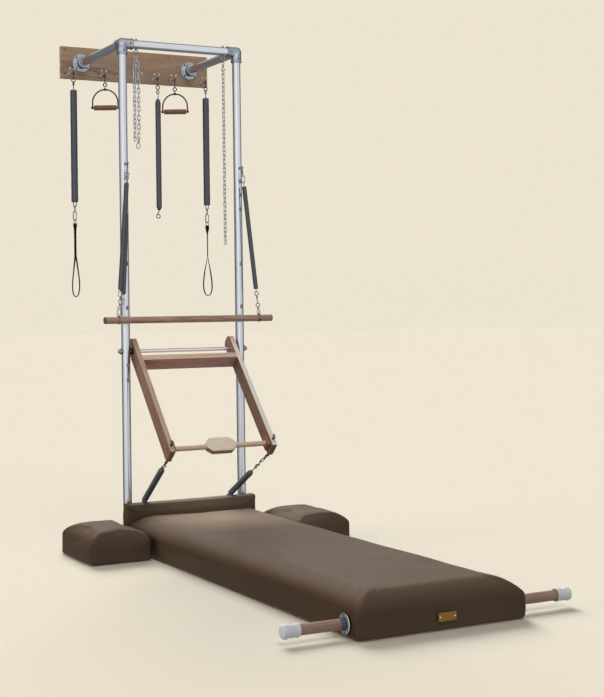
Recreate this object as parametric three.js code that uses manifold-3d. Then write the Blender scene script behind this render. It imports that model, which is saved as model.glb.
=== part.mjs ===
// Wall-fixed exercise tower with a floor mat: two tube uprights joined to a wall board,
// a swinging wooden push-through frame, a roll-down bar on springs, leg and arm springs,
// hand grips and chains on the top, and a padded mat with loose padded blocks beside it.
// Millimetres, +Z up. The tower's own coordinates put X across the mat, Y towards the
// wall and the two uprights on Y = 0; the outer group then centres the whole footprint.
import * as THREE from 'three';
import { mergeVertices } from 'three/addons/utils/BufferGeometryUtils.js';
import Module from 'manifold-3d';

const wasm = await Module();
wasm.setup();

// ---------------------------------------------------------------- driving dimensions
const TUBE_R = 19;               // 38 mm steel tube
const TUBE_BORE_R = 15.8;
const SOCKET_R = 19.7;           // bore of every cast fitting
const HALF = 276;                // half the distance between the uprights
const TOP_Z = 2194;              // axis of the top crossbar
const BOARD_Y = 542;             // front face of the wall board
const BOARD_T = 25;
const BOARD_W = 750;
const BOARD_LOW = 2118;
const BOARD_HIGH = 2269;
const LOWER_BAR_Z = 151;         // crossbar hidden behind the headboard pad

const AXLE_Z = 844;              // pivot of the push-through frame
const AXLE_R = 8;
const TILT = 43 * Math.PI / 180; // frame leans forward by this much at rest
const ARM_T = 22;
const ARM_OUT = 246.5;           // outer face of each arm
const ARM_D = 70;
const ARM_TOP = 58;
const ARM_LEN = 585;

const HANG_Y = -53;              // plane of the roll-down springs
const ROLL_Z = 981;
const ROLL_R = 15;
const ROLL_X = [-393, 413];
const ROLL_LOOP_X = [-326, 348];
const EYE_Z = 1664;              // upright eyes that hold the roll-down springs
const EYE_Y = -40;

const HOOK_Z = 2140;             // rod of every board hook
const HOOK_Y = 503;
const HOOK_X = { leg_left: -334, handle_left: -178, arm: 90, handle_right: 179, leg_right: 342 };

const MAT_HALF = 317;
const MAT_HEAD = -100.6;
const MAT_FOOT = -2067;
const MAT_TOP = 137;
const BASE_HALF = 298;
const BASE_TOP = 88;
const PAD_TOP = 194;             // headboard pad
const BLOCK = { w: 259, d: 385, h: 127 };
const DOWEL_Y = -1977;
const DOWEL_Z = 43;
const DOWEL_R = 17.5;
const BADGE_T = 1.5;

const FRAME_Y = -((MAT_FOOT - BADGE_T - 0.3) + (BOARD_Y + BOARD_T)) / 2;

// ---------------------------------------------------------------- finishes
const steel = new THREE.MeshStandardMaterial({ color: 0xc3c8cc, roughness: 0.34, metalness: 0.9 });
const cast = new THREE.MeshStandardMaterial({ color: 0xa4a9ae, roughness: 0.3, metalness: 0.95 });
const wire = new THREE.MeshStandardMaterial({ color: 0xb6b8ba, roughness: 0.25, metalness: 1.0 });
const beech = new THREE.MeshStandardMaterial({ color: 0xb98b6d, roughness: 0.5, metalness: 0.0 });
const boardWood = new THREE.MeshStandardMaterial({ color: 0x9a7a5c, roughness: 0.55, metalness: 0.0 });
const grip = new THREE.MeshStandardMaterial({ color: 0x7b4b2e, roughness: 0.45, metalness: 0.0 });
const vinyl = new THREE.MeshStandardMaterial({ color: 0x574a3e, roughness: 0.45, metalness: 0.0 });
const sleeve = new THREE.MeshStandardMaterial({ color: 0x26272b, roughness: 0.6, metalness: 0.0 });
const strap = new THREE.MeshStandardMaterial({ color: 0x141414, roughness: 0.85, metalness: 0.0 });
const rubber = new THREE.MeshStandardMaterial({ color: 0x9fa3a8, roughness: 0.7, metalness: 0.0 });
const brass = new THREE.MeshStandardMaterial({ color: 0xb8964a, roughness: 0.3, metalness: 1.0 });
const ply = new THREE.MeshStandardMaterial({ color: 0xc5a67c, roughness: 0.7, metalness: 0.0 });

// ---------------------------------------------------------------- solids
function solid(geometry) {
  const g = geometry.clone();
  g.deleteAttribute('normal');
  g.deleteAttribute('uv');
  const m = mergeVertices(g, 1e-3);
  const index = m.index.array;
  const tris = [];
  for (let i = 0; i < index.length; i += 3) {
    const a = index[i], b = index[i + 1], c = index[i + 2];
    if (a !== b && b !== c && a !== c) tris.push(a, b, c);
  }
  return new wasm.Manifold(new wasm.Mesh({
    numProp: 3,
    vertProperties: new Float32Array(m.attributes.position.array),
    triVerts: new Uint32Array(tris),
  }));
}

function geometry(manifold) {
  const mesh = manifold.getMesh();
  const g = new THREE.BufferGeometry();
  const n = mesh.vertProperties.length / mesh.numProp;
  const pos = new Float32Array(n * 3);
  for (let i = 0; i < n; i++) {
    for (let k = 0; k < 3; k++) pos[i * 3 + k] = mesh.vertProperties[i * mesh.numProp + k];
  }
  g.setAttribute('position', new THREE.BufferAttribute(pos, 3));
  g.setIndex(new THREE.BufferAttribute(new Uint32Array(mesh.triVerts), 1));
  g.computeVertexNormals();
  return g;
}

const join = (...parts) => geometry(parts.map((p) => (p.isBufferGeometry ? solid(p) : p)).reduce((a, b) => a.add(b)));
const cut = (body, ...tools) => {
  let s = body.isBufferGeometry ? solid(body) : body;
  for (const t of tools) s = s.subtract(t.isBufferGeometry ? solid(t) : t);
  return geometry(s);
};

const V = (x, y, z) => new THREE.Vector3(x, y, z);
const UP = V(0, 1, 0);

// straight round bar from a to b
function rod(a, b, r, seg = 6, r2 = r) {
  const d = new THREE.Vector3().subVectors(b, a);
  const g = new THREE.CylinderGeometry(r2, r, d.length(), seg);
  g.applyQuaternion(new THREE.Quaternion().setFromUnitVectors(UP, d.clone().normalize()));
  return g.translate((a.x + b.x) / 2, (a.y + b.y) / 2, (a.z + b.z) / 2);
}

// turned shape: profile of [radius, distance] along the line from a towards b
function turned(a, b, profile, seg = 24) {
  const g = new THREE.LatheGeometry(profile.map(([r, h]) => new THREE.Vector2(r, h)), seg);
  const d = new THREE.Vector3().subVectors(b, a).normalize();
  g.applyQuaternion(new THREE.Quaternion().setFromUnitVectors(UP, d));
  return g.translate(a.x, a.y, a.z);
}

function tube(a, b, ro = TUBE_R, ri = TUBE_BORE_R, seg = 20) {
  const l = a.distanceTo(b);
  return turned(a, b, [[ri, 0], [ro, 0], [ro, l], [ri, l], [ri, 0]], seg);
}

// wire ring; plane is the pair of axes that the ring lies in
function ring(c, R, r, plane = 'yz', seg = 10) {
  const g = new THREE.TorusGeometry(R, r, 5, seg);
  if (plane === 'yz') g.rotateY(Math.PI / 2);
  if (plane === 'xz') g.rotateX(Math.PI / 2);
  return g.translate(c.x, c.y, c.z);
}

function ball(c, r, w = 8, h = 5) {
  return new THREE.SphereGeometry(r, w, h).translate(c.x, c.y, c.z);
}

function box(x0, x1, y0, y1, z0, z1) {
  return new THREE.BoxGeometry(x1 - x0, y1 - y0, z1 - z0)
    .translate((x0 + x1) / 2, (y0 + y1) / 2, (z0 + z1) / 2);
}

// a round section swept along a smooth curve, closed at both ends
function swept(points, r, steps, sides = 8, closed = false) {
  const s = new THREE.Shape();
  for (let i = 0; i < sides; i++) {
    const t = (i / sides) * Math.PI * 2;
    if (i === 0) s.moveTo(r * Math.cos(t), r * Math.sin(t));
    else s.lineTo(r * Math.cos(t), r * Math.sin(t));
  }
  s.closePath();
  return new THREE.ExtrudeGeometry(s, {
    steps, bevelEnabled: false, extrudePath: new THREE.CatmullRomCurve3(points, closed, 'centripetal'),
  });
}

// outline given in (u, v) with rounded corners
function roundRect(u0, u1, v0, v1, r) {
  const s = new THREE.Shape();
  s.moveTo(u0 + r, v0);
  s.lineTo(u1 - r, v0);
  s.quadraticCurveTo(u1, v0, u1, v0 + r);
  s.lineTo(u1, v1 - r);
  s.quadraticCurveTo(u1, v1, u1 - r, v1);
  s.lineTo(u0 + r, v1);
  s.quadraticCurveTo(u0, v1, u0, v1 - r);
  s.lineTo(u0, v0 + r);
  s.quadraticCurveTo(u0, v0, u0 + r, v0);
  return s;
}

// plate whose outline lies in Y-Z and whose thickness runs along X from x0 to x1
function plateYZ(shape, x0, x1, bevel = 0, curveSegments = 4) {
  const g = new THREE.ExtrudeGeometry(shape, {
    depth: x1 - x0 - 2 * bevel, curveSegments, steps: 1,
    bevelEnabled: bevel > 0, bevelThickness: bevel, bevelSize: bevel, bevelOffset: -bevel, bevelSegments: 1,
  });
  g.applyMatrix4(new THREE.Matrix4().makeBasis(V(0, 1, 0), V(0, 0, 1), V(1, 0, 0)));
  return g.translate(x0 + bevel, 0, 0);
}

// plate whose outline lies in X-Z and whose thickness runs along Y from y0 to y1
function plateXZ(shape, y0, y1, bevel = 0, curveSegments = 4) {
  const g = new THREE.ExtrudeGeometry(shape, {
    depth: y1 - y0 - 2 * bevel, curveSegments, steps: 1,
    bevelEnabled: bevel > 0, bevelThickness: bevel, bevelSize: bevel, bevelOffset: -bevel, bevelSegments: 1,
  });
  g.applyMatrix4(new THREE.Matrix4().makeBasis(V(1, 0, 0), V(0, 0, 1), V(0, -1, 0)));
  return g.translate(0, y1 - bevel, 0);
}

// padded block: plan outline with round corners, edges rolled over at top and bottom
function cushion(x0, x1, y0, y1, z0, z1, corner, roll) {
  const s = roundRect(x0, x1, y0, y1, corner);
  return new THREE.ExtrudeGeometry(s, {
    depth: z1 - z0 - 2 * roll, curveSegments: 3, steps: 1,
    bevelEnabled: true, bevelThickness: roll, bevelSize: roll, bevelOffset: -roll, bevelSegments: 3,
  }).translate(0, 0, z0 + roll);
}

// padded block with a domed top: straight walls up to wall, then a broad curve that ends flat at over inside the edge
function pillow(x0, x1, y0, y1, z0, z1, corner, wall, over) {
  const rise = z1 - wall;
  const levels = [[3, z0], [0, z0 + 3], [0, wall]];
  for (const [t, f] of [[0.03, 0.18], [0.1, 0.36], [0.3, 0.645], [0.6, 0.88], [1, 1]]) levels.push([over * t, wall + rise * f]);
  const per = 4;
  const pos = [], tris = [];
  for (const [d, z] of levels) {
    const r = Math.max(corner - d * 0.6, 2);
    for (const [cx, cy, a0] of [[x1 - d - r, y1 - d - r, 0], [x0 + d + r, y1 - d - r, 1], [x0 + d + r, y0 + d + r, 2], [x1 - d - r, y0 + d + r, 3]]) {
      for (let i = 0; i <= per - 1; i++) {
        const a = (a0 + i / (per - 1)) * Math.PI / 2;
        pos.push(cx + r * Math.cos(a), cy + r * Math.sin(a), z);
      }
    }
  }
  const n = per * 4;
  for (let k = 0; k + 1 < levels.length; k++) {
    for (let i = 0; i < n; i++) {
      const j = (i + 1) % n, a = k * n + i, b = k * n + j, c = b + n, d = a + n;
      tris.push(a, b, c, a, c, d);
    }
  }
  const last = (levels.length - 1) * n;
  for (let i = 1; i + 1 < n; i++) tris.push(0, i + 1, i, last, last + i, last + i + 1);
  const g = new THREE.BufferGeometry();
  g.setAttribute('position', new THREE.BufferAttribute(new Float32Array(pos), 3));
  g.setIndex(tris);
  g.computeVertexNormals();
  return g;
}

const whole = new THREE.Group();
const tower = new THREE.Group();
tower.position.y = FRAME_Y;
whole.add(tower);

function add(name, g, material, parent = tower) {
  const mesh = new THREE.Mesh(g, material);
  mesh.name = name;
  parent.add(mesh);
  return mesh;
}

// ---------------------------------------------------------------- wall board
{
  const plank = plateXZ(roundRect(-BOARD_W / 2, BOARD_W / 2, BOARD_LOW, BOARD_HIGH, 3), BOARD_Y, BOARD_Y + BOARD_T, 2, 1);
  const holes = [];
  for (const x of [-358, -168, 168, 358]) {
    for (const z of [2139.5, 2252]) holes.push(rod(V(x, BOARD_Y - 2, z), V(x, BOARD_Y + BOARD_T + 2, z), 3));
  }
  add('wall_board', cut(plank, ...holes), boardWood);
}

// cast flange: a screwed disc with a socket for the tube
function flange(a, b) {
  const body = turned(a, b, [
    [0, 0], [44, 0], [44, 5], [41, 6.5], [30, 8], [24, 14], [24, 30], [25, 31], [25, 36], [SOCKET_R, 36], [SOCKET_R, 6.3], [0, 6.3],
  ], 16);
  const dir = new THREE.Vector3().subVectors(b, a).normalize();
  const side = Math.abs(dir.z) > 0.5 ? V(0, 1, 0) : V(0, 0, 1);
  const other = new THREE.Vector3().crossVectors(dir, side);
  const holes = [45, 135, 225, 315].map((deg) => {
    const t = deg * Math.PI / 180;
    const o = side.clone().multiplyScalar(35 * Math.cos(t)).addScaledVector(other, 35 * Math.sin(t)).add(a);
    return rod(o.clone().addScaledVector(dir, -2), o.clone().addScaledVector(dir, 12), 3);
  });
  return cut(body, ...holes);
}

for (const [side, s] of [['left', -1], ['right', 1]]) {
  add(`wall_flange_${side}`, flange(V(s * HALF, BOARD_Y - 0.3, TOP_Z), V(s * HALF, 0, TOP_Z)), cast);
  add(`rear_pipe_${side}`, tube(V(s * HALF, 20.3, TOP_Z), V(s * HALF, BOARD_Y - 7.2, TOP_Z)), steel);

  // three-way corner fitting: sockets inwards, rearwards and downwards
  const c = V(s * HALF, 0, TOP_Z);
  const ways = [V(-s, 0, 0), V(0, 1, 0), V(0, 0, -1)];
  const parts = [ball(c, 24.4, 16, 8)];
  const bores = [];
  for (const w of ways) {
    const at = (d) => c.clone().addScaledVector(w, d);
    parts.push(rod(c, at(44), 23.4, 16));
    parts.push(turned(at(39), at(60), [[0, 0], [23.4, 0], [25.2, 1.6], [25.2, 8.6], [0, 8.6]], 16));
    bores.push(rod(at(19.8), at(60), SOCKET_R, 16));
  }
  add(`corner_fitting_${side}`, cut(solid(join(...parts)), ...bores), cast);
}

// top crossbar, drilled for the two chain eye bolts
const CHAIN_X = [-211, 210];
add('crossbar', cut(
  tube(V(-HALF + 20.3, 0, TOP_Z), V(HALF - 20.3, 0, TOP_Z)),
  ...CHAIN_X.map((x) => rod(V(x, 0, TOP_Z - 30), V(x, 0, TOP_Z + 30), 3.4, 8)),
), steel);

// ---------------------------------------------------------------- uprights
for (const [side, s] of [['left', -1], ['right', 1]]) {
  add(`upright_${side}`, cut(
    tube(V(s * HALF, 0, 6.6), V(s * HALF, 0, TOP_Z - 20.3)),
    rod(V(s * HALF - 40, 0, AXLE_Z), V(s * HALF + 40, 0, AXLE_Z), AXLE_R + 0.4, 16),
    rod(V(s * HALF, -40, EYE_Z), V(s * HALF, 40, EYE_Z), 3.4, 8),
  ), steel);
  add(`floor_flange_${side}`, flange(V(s * HALF, 0, 0), V(s * HALF, 0, 100)), cast);

  // eye bolt through the upright, its ring lying flat, with washer and nut behind
  add(`upright_eye_${side}`, join(
    rod(V(s * HALF, EYE_Y + 7.1, EYE_Z), V(s * HALF, 31, EYE_Z), 3, 8),
    rod(V(s * HALF, -22, EYE_Z), V(s * HALF, -19.6, EYE_Z), 6, 10),
    turned(V(s * HALF, 19.6, EYE_Z), V(s * HALF, 60, EYE_Z), [[0, 0], [8, 0], [8, 1.4], [5.6, 1.4], [5.6, 7], [0, 7]], 6),
    ring(V(s * HALF, EYE_Y, EYE_Z), 7.6, 2.3, 'xy', 14),
  ), wire);
}

// lower crossbar with saddle ends and two welded rings for the frame's springs
const ANCHOR_X = 205;
const ANCHOR_Z = LOWER_BAR_Z + TUBE_R + 7;
add('lower_crossbar', cut(
  solid(join(
    tube(V(-HALF + 5, 0, LOWER_BAR_Z), V(HALF - 5, 0, LOWER_BAR_Z)),
    ring(V(-ANCHOR_X, 0, ANCHOR_Z), 8, 2.4, 'yz'),
    ring(V(ANCHOR_X, 0, ANCHOR_Z), 8, 2.4, 'yz'),
  )),
  rod(V(-HALF, 0, 0), V(-HALF, 0, 400), TUBE_R + 0.4, 20),
  rod(V(HALF, 0, 0), V(HALF, 0, 400), TUBE_R + 0.4, 20),
), steel);

// ---------------------------------------------------------------- push-through frame
// axle rod with its two domed end nuts
add('ptb_axle', join(
  rod(V(-297, 0, AXLE_Z), V(297, 0, AXLE_Z), AXLE_R, 16),
  turned(V(-295.6, 0, AXLE_Z), V(-400, 0, AXLE_Z), [[0, 0], [12, 0], [12, 9], [10, 13], [5, 16], [0, 17]], 12),
  turned(V(295.6, 0, AXLE_Z), V(400, 0, AXLE_Z), [[0, 0], [12, 0], [12, 9], [10, 13], [5, 16], [0, 17]], 12),
), steel);

// the frame's own group: origin on the axle, arms along -Z, front along -Y, then tilted
const frame = new THREE.Group();
frame.position.set(0, 0, AXLE_Z);
frame.rotation.x = -TILT;
tower.add(frame);

const ARM_IN = ARM_OUT - ARM_T;
const BAR_S = 546;               // dowel, measured down the arm
const PTB_EYE = { y: ARM_D / 2 + 13.5, z: -570, x: (ARM_OUT + ARM_IN) / 2 };
// arm seen from the side: small radii at its lower end, large ones round the axle
function armOutline() {
  const s = new THREE.Shape();
  const d = ARM_D / 2, lo = -ARM_LEN, hi = ARM_TOP, a = 3, b = 26;
  s.moveTo(-d + a, lo);
  s.lineTo(d - a, lo);
  s.quadraticCurveTo(d, lo, d, lo + a);
  s.lineTo(d, hi - b);
  s.absarc(d - b, hi - b, b, 0, Math.PI / 2, false);
  s.lineTo(-d + b, hi);
  s.absarc(-d + b, hi - b, b, Math.PI / 2, Math.PI, false);
  s.lineTo(-d, lo + a);
  s.quadraticCurveTo(-d, lo, -d + a, lo);
  return s;
}
for (const [side, s] of [['left', -1], ['right', 1]]) {
  const x0 = Math.min(s * ARM_OUT, s * ARM_IN), x1 = Math.max(s * ARM_OUT, s * ARM_IN);
  const plank = plateYZ(armOutline(), x0, x1, 1.6, 3);
  const b0 = Math.min(s * (ARM_IN + 1), s * (ARM_IN - 12)), b1 = Math.max(s * (ARM_IN + 1), s * (ARM_IN - 12));
  const block = box(b0, b1, -24, 24, -(BAR_S + 24), -(BAR_S - 24));
  add(`ptb_arm_${side}`, cut(
    solid(join(plank, block)),
    rod(V(s * 200, 0, 0), V(s * 270, 0, 0), AXLE_R + 0.4, 16),
    rod(V(s * 200, 0, -BAR_S), V(s * 234, 0, -BAR_S), 11.4, 16),
    rod(V(s * PTB_EYE.x, ARM_D / 2 - 24, PTB_EYE.z), V(s * PTB_EYE.x, ARM_D / 2 + 4, PTB_EYE.z), 3, 8),
  ), beech, frame);
  add(`ptb_eye_${side}`, join(
    rod(V(s * PTB_EYE.x, ARM_D / 2 - 23, PTB_EYE.z), V(s * PTB_EYE.x, PTB_EYE.y - 6.6, PTB_EYE.z), 2.6, 8),
    ring(V(s * PTB_EYE.x, PTB_EYE.y, PTB_EYE.z), 7.8, 2.2, 'yz'),
  ), wire, frame);
}
add('ptb_cross_board', plateXZ(roundRect(-ARM_IN + 0.4, ARM_IN - 0.4, -81, -53, 2), -ARM_D / 2 + 1, ARM_D / 2 - 1, 1.5, 1), beech, frame);
add('ptb_dowel', rod(V(-233.6, 0, -BAR_S), V(233.6, 0, -BAR_S), 11, 16), beech, frame);
{
  const s = new THREE.Shape();
  const w = 69, h = 35, k = 23, c = 2, z = -(BAR_S - 3);
  s.moveTo(c - w + k, z - h);
  s.lineTo(c + w - k, z - h);
  s.lineTo(c + w, z - h + k);
  s.lineTo(c + w, z + h - k);
  s.lineTo(c + w - k, z + h);
  s.lineTo(c - w + k, z + h);
  s.lineTo(c - w, z + h - k);
  s.lineTo(c - w, z - h + k);
  s.closePath();
  add('ptb_paddle', cut(
    plateXZ(s, -13, 13, 1.4, 1),
    rod(V(-100, 0, -BAR_S), V(120, 0, -BAR_S), 11.4, 16),
  ), beech, frame);
}

// a point of the tilted frame in tower coordinates
const onFrame = (x, y, z) => V(x, y * Math.cos(TILT) + z * Math.sin(TILT), AXLE_Z - y * Math.sin(TILT) + z * Math.cos(TILT));

// covered coil spring along a line: sleeve with drawn-in ends, a wire at each end
function spring(a, b, from, to, r, seg = 10, wireFrom = 0) {
  const d = new THREE.Vector3().subVectors(b, a).normalize();
  const at = (t) => a.clone().addScaledVector(d, t);
  const n = to - from;
  return [
    turned(at(from), b, [[0, 0], [r * 0.72, 0], [r, 7], [r, n - 7], [r * 0.72, n], [0, n]], seg),
    rod(at(wireFrom), at(from + 4), 2, 6),
    rod(at(to - 4), b, 2, 6),
  ];
}

// springs of the push-through frame, from the eyes behind the arms to the welded rings
for (const [side, s] of [['left', -1], ['right', 1]]) {
  // the pull runs through the middle of the eye's ring, so the snap swings round it
  const mid = onFrame(s * PTB_EYE.x, PTB_EYE.y, PTB_EYE.z);
  const k = V(s * ANCHOR_X, -1.5, ANCHOR_Z + 1);
  const d = new THREE.Vector3().subVectors(k, mid).normalize();
  const e = mid.clone().addScaledVector(d, 2.6);
  const l = e.distanceTo(k);
  const top = e.clone().addScaledVector(d, 6.2);
  const low = k.clone().addScaledVector(d, -6.2);
  // the wire loops are turned across the rings that they hold
  const across = (c) => {
    const g = new THREE.TorusGeometry(5.8, 2, 5, 10);
    g.applyMatrix4(new THREE.Matrix4().makeBasis(V(1, 0, 0), d.clone(), new THREE.Vector3().crossVectors(V(1, 0, 0), d).normalize()));
    return g.translate(c.x, c.y, c.z);
  };
  const p0 = e.clone().addScaledVector(d, 12.5), p1 = k.clone().addScaledVector(d, -12.5);
  const from = side === 'left' ? 57.5 : 149.5;
  const grab = side === 'left' ? 62 : 80;
  add(`ptb_spring_${side}`, join(across(low), ...spring(p0, p1, from, l - 12.5 - 18, 13, 10, grab + 0.4 - 12.5)), sleeve);
  add(`ptb_snap_${side}`, join(across(top), rod(e.clone().addScaledVector(d, 10), e.clone().addScaledVector(d, grab), 3.4, 8)), wire);
}

// ---------------------------------------------------------------- roll-down bar
add('roll_down_bar', turned(V(ROLL_X[0], HANG_Y, ROLL_Z), V(ROLL_X[1], HANG_Y, ROLL_Z), [
  [0, 0], [ROLL_R - 3, 0], [ROLL_R, 3], [ROLL_R, ROLL_X[1] - ROLL_X[0] - 3], [ROLL_R - 3, ROLL_X[1] - ROLL_X[0]], [0, ROLL_X[1] - ROLL_X[0]],
], 16), beech);

const EYE_FRONT = EYE_Y - 7.6;    // front wire of the flat ring
for (const [i, side, s] of [[0, 'left', -1], [1, 'right', 1]]) {
  // loop over the ring's front wire, snap, sleeve, snap, loop round the bar
  const hang = V(s * HALF, EYE_FRONT, EYE_Z - 2.4);
  const a = V(s * HALF, HANG_Y + 4, EYE_Z - 14);
  const b = V(ROLL_LOOP_X[i], HANG_Y, ROLL_Z + 24);
  const d = new THREE.Vector3().subVectors(b, a).normalize();
  const at = (t) => a.clone().addScaledVector(d, t);
  const l = a.distanceTo(b);
  add(`roll_down_spring_${side}`, join(
    ring(hang, 7, 2, 'yz'),
    rod(V(hang.x, hang.y - 3, hang.z - 6.2), a, 2),
    ...spring(a, b, 72, l - 108, 9.8),
    rod(at(14), at(58), 3.6),
    rod(at(l - 96), at(l - 56), 3.6),
    ring(V(ROLL_LOOP_X[i], HANG_Y, ROLL_Z + 1.4), 19.2, 2, 'yz', 12),
    rod(b, V(ROLL_LOOP_X[i], HANG_Y, ROLL_Z + 18), 2),
  ), sleeve);
}

// short spring from a lower eye of the left upright to the bar's left snap
{
  const a = V(-277, -31, 1478);
  const m0 = V(-279.3, -31.8, 1446), m1 = V(-297.2, -31.8, 1093);
  const d = new THREE.Vector3().subVectors(m1, m0).normalize();
  add('short_spring', join(
    turned(m0, m1, [[0, 0], [8, 0], [11.6, 8], [11.6, m0.distanceTo(m1) - 8], [8, m0.distanceTo(m1)], [0, m0.distanceTo(m1)]], 12),
    rod(a, m0.clone().addScaledVector(d, 4), 2),
    rod(m1.clone().addScaledVector(d, -4), V(-309, -38, 1070), 2),
    ball(V(-309, -38, 1070), 3, 8, 6),
  ), sleeve);
}

// ---------------------------------------------------------------- wall hooks
// round plate, stem, and a U of rod with two ball tips
function boardHook(x) {
  const z = HOOK_Z;
  const u = swept([
    V(x - 11, HOOK_Y, z + 16), V(x - 9.6, HOOK_Y, z + 7), V(x - 8.2, HOOK_Y, z + 2), V(x - 6, HOOK_Y, z),
    V(x, HOOK_Y, z), V(x + 6, HOOK_Y, z), V(x + 8.2, HOOK_Y, z + 2), V(x + 9.6, HOOK_Y, z + 7), V(x + 11, HOOK_Y, z + 16),
  ], 2.5, 10, 6);
  return join(
    turned(V(x, BOARD_Y - 0.3, z), V(x, 0, z), [[0, 0], [12, 0], [12, 2.5], [9, 4.5], [0, 4.5]], 12),
    rod(V(x, BOARD_Y - 2, z), V(x, HOOK_Y + 0.5, z), 2.5, 6),
    u,
    ball(V(x - 11.4, HOOK_Y, z + 19), 4.6),
    ball(V(x + 11.4, HOOK_Y, z + 19), 4.6),
  );
}
for (const [k, x] of Object.entries(HOOK_X)) add(`board_hook_${k}`, boardHook(x), wire);

// things on the hooks hang beside the stem
const BESIDE = 5.2;
const HANG_Z = HOOK_Z - 1.9;     // centre of the loop over the hook's rod

for (const side of ['left', 'right']) {
  const x = HOOK_X[`leg_${side}`] + BESIDE;
  // leg spring: loop, wire, ribbed sleeve, swivel snap
  add(`leg_spring_${side}`, join(
    ring(V(x, HOOK_Y, HANG_Z), 7.8, 1.9, 'yz'),
    ...spring(V(x, HOOK_Y, HANG_Z - 7), V(x, HOOK_Y, 1462), 73, 598, 15.8),
    rod(V(x, HOOK_Y, 2122), V(x, HOOK_Y, 2076), 3.6),
    ring(V(x, HOOK_Y, 1505), 9, 2, 'xz'),
    rod(V(x, HOOK_Y, 1496), V(x, HOOK_Y, 1448), 3.6),
    rod(V(x, HOOK_Y - 15, 1428), V(x, HOOK_Y + 15, 1428), 2),
    swept([V(x, HOOK_Y - 15, 1427), V(x, HOOK_Y - 15, 1440), V(x, HOOK_Y - 12, 1446), V(x, HOOK_Y, 1452),
      V(x, HOOK_Y + 12, 1446), V(x, HOOK_Y + 15, 1440), V(x, HOOK_Y + 15, 1427)], 1.9, 12, 6),
  ), sleeve);

  // webbing loop: doubled and stitched above, open as a foot loop below
  const top = 1436.6, w = side === 'left' ? 16.5 : 21;
  const zig = [
    [-5.2, 1420], [-3.2, 1395], [-1.7, 1360], [-1.7, 1290], [-6, 1258], [-w * 0.8, 1200], [-w, 1150], [-w * 0.82, 1115], [-w * 0.4, 1095], [0, 1089],
  ];
  const outer = new THREE.Shape();
  const T = 1.5;
  const pts = [];
  for (const [u, z] of zig) pts.push([u - T, z]);
  pts[pts.length - 1] = [0, 1089 - T];
  const right = pts.slice(0, -1).map(([u, z]) => [-u, z]).reverse();
  const outline = [[-5.6 - T, 1430], ...pts, ...right, [5.6 + T, 1430], [3.6, 1437], [0, 1439.6], [-3.6, 1437]];
  outline.forEach(([u, z], i) => (i ? outer.lineTo(x + u, z) : outer.moveTo(x + u, z)));
  outer.closePath();
  const inner = new THREE.Path();
  const hole = [[0, 1089 + T], ...zig.slice(5, -1).reverse().map(([u, z]) => [u + T, z]), [-4.2, 1256], [0, 1276],
    [4.2, 1256], ...zig.slice(5, -1).map(([u, z]) => [-u - T, z])];
  hole.forEach(([u, z], i) => (i ? inner.lineTo(x + u, z) : inner.moveTo(x + u, z)));
  inner.closePath();
  outer.holes.push(inner);
  // passage for the snap's ring at the top of the strap
  const eye = new THREE.Path();
  [[-2.6, 1434.6], [0, 1436.4], [2.6, 1434.6], [4.4, 1429], [3.2, 1421], [0, 1417], [-3.2, 1421], [-4.4, 1429]]
    .forEach(([u, z], i) => (i ? eye.lineTo(x + u, z) : eye.moveTo(x + u, z)));
  eye.closePath();
  outer.holes.push(eye);
  const band = plateXZ(outer, HOOK_Y - 12.5, HOOK_Y + 12.5, 0, 1);
  add(`leg_strap_${side}`, band, strap);
}

// arm spring: thinner, smooth sleeve, wire ring at its free end
{
  const x = HOOK_X.arm + BESIDE;
  add('arm_spring', join(
    ring(V(x, HOOK_Y, HANG_Z), 7.8, 1.9, 'yz'),
    ...spring(V(x, HOOK_Y, HANG_Z - 7), V(x, HOOK_Y, 1484), 89, 629, 13.2),
    rod(V(x, HOOK_Y, 2116), V(x, HOOK_Y, 2064), 3.6),
    ring(V(x, HOOK_Y, 1474), 9.4, 2, 'xz'),
  ), sleeve);
}

// ---------------------------------------------------------------- hand grips
const GRIP_Z = 1983.5;
const GRIP_TURN = 27 * Math.PI / 180;   // the loops hang turned on their swivels
for (const side of ['left', 'right']) {
  const x = HOOK_X[`handle_${side}`] + BESIDE;
  const R = 60;
  const pts = [V(-R, 0, -1), V(-R, 0, 14)];
  for (let i = 1; i < 12; i++) {
    const t = Math.PI - (i / 12) * Math.PI;
    pts.push(V(R * Math.cos(t), 0, 24 + 62 * Math.sin(t)));
  }
  pts.push(V(R, 0, 14), V(R, 0, -1));
  const hang = (g) => g.rotateZ(-GRIP_TURN).translate(x, HOOK_Y, GRIP_Z);
  add(`handle_bail_${side}`, join(
    hang(swept(pts, 3.2, 16, 6)),
    hang(rod(V(-63, 0, 0), V(63, 0, 0), 3)),
    hang(ball(V(-63, 0, 0), 5.6)),
    hang(ball(V(63, 0, 0), 5.6)),
    hang(rod(V(0, 0, 84), V(0, 0, 102), 3.4, 8)),
    hang(ring(V(0, 0, 109), 7.4, 1.9, 'xz')),
    hang(rod(V(0, 0, 115), V(0, 0, 145), 3)),
    rod(V(x, HOOK_Y, GRIP_Z + 140), V(x, HOOK_Y, HANG_Z - 7), 1.9),
    ring(V(x, HOOK_Y, HANG_Z), 7.8, 1.9, 'yz'),
  ), wire);
  add(`handle_grip_${side}`, hang(turned(V(-54, 0, 0), V(54, 0, 0), [
    [3.8, 0], [10, 0], [11.8, 2.5], [12.2, 54], [11.8, 105.5], [10, 108], [3.8, 108], [3.8, 0],
  ], 16)), grip);
}

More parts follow.
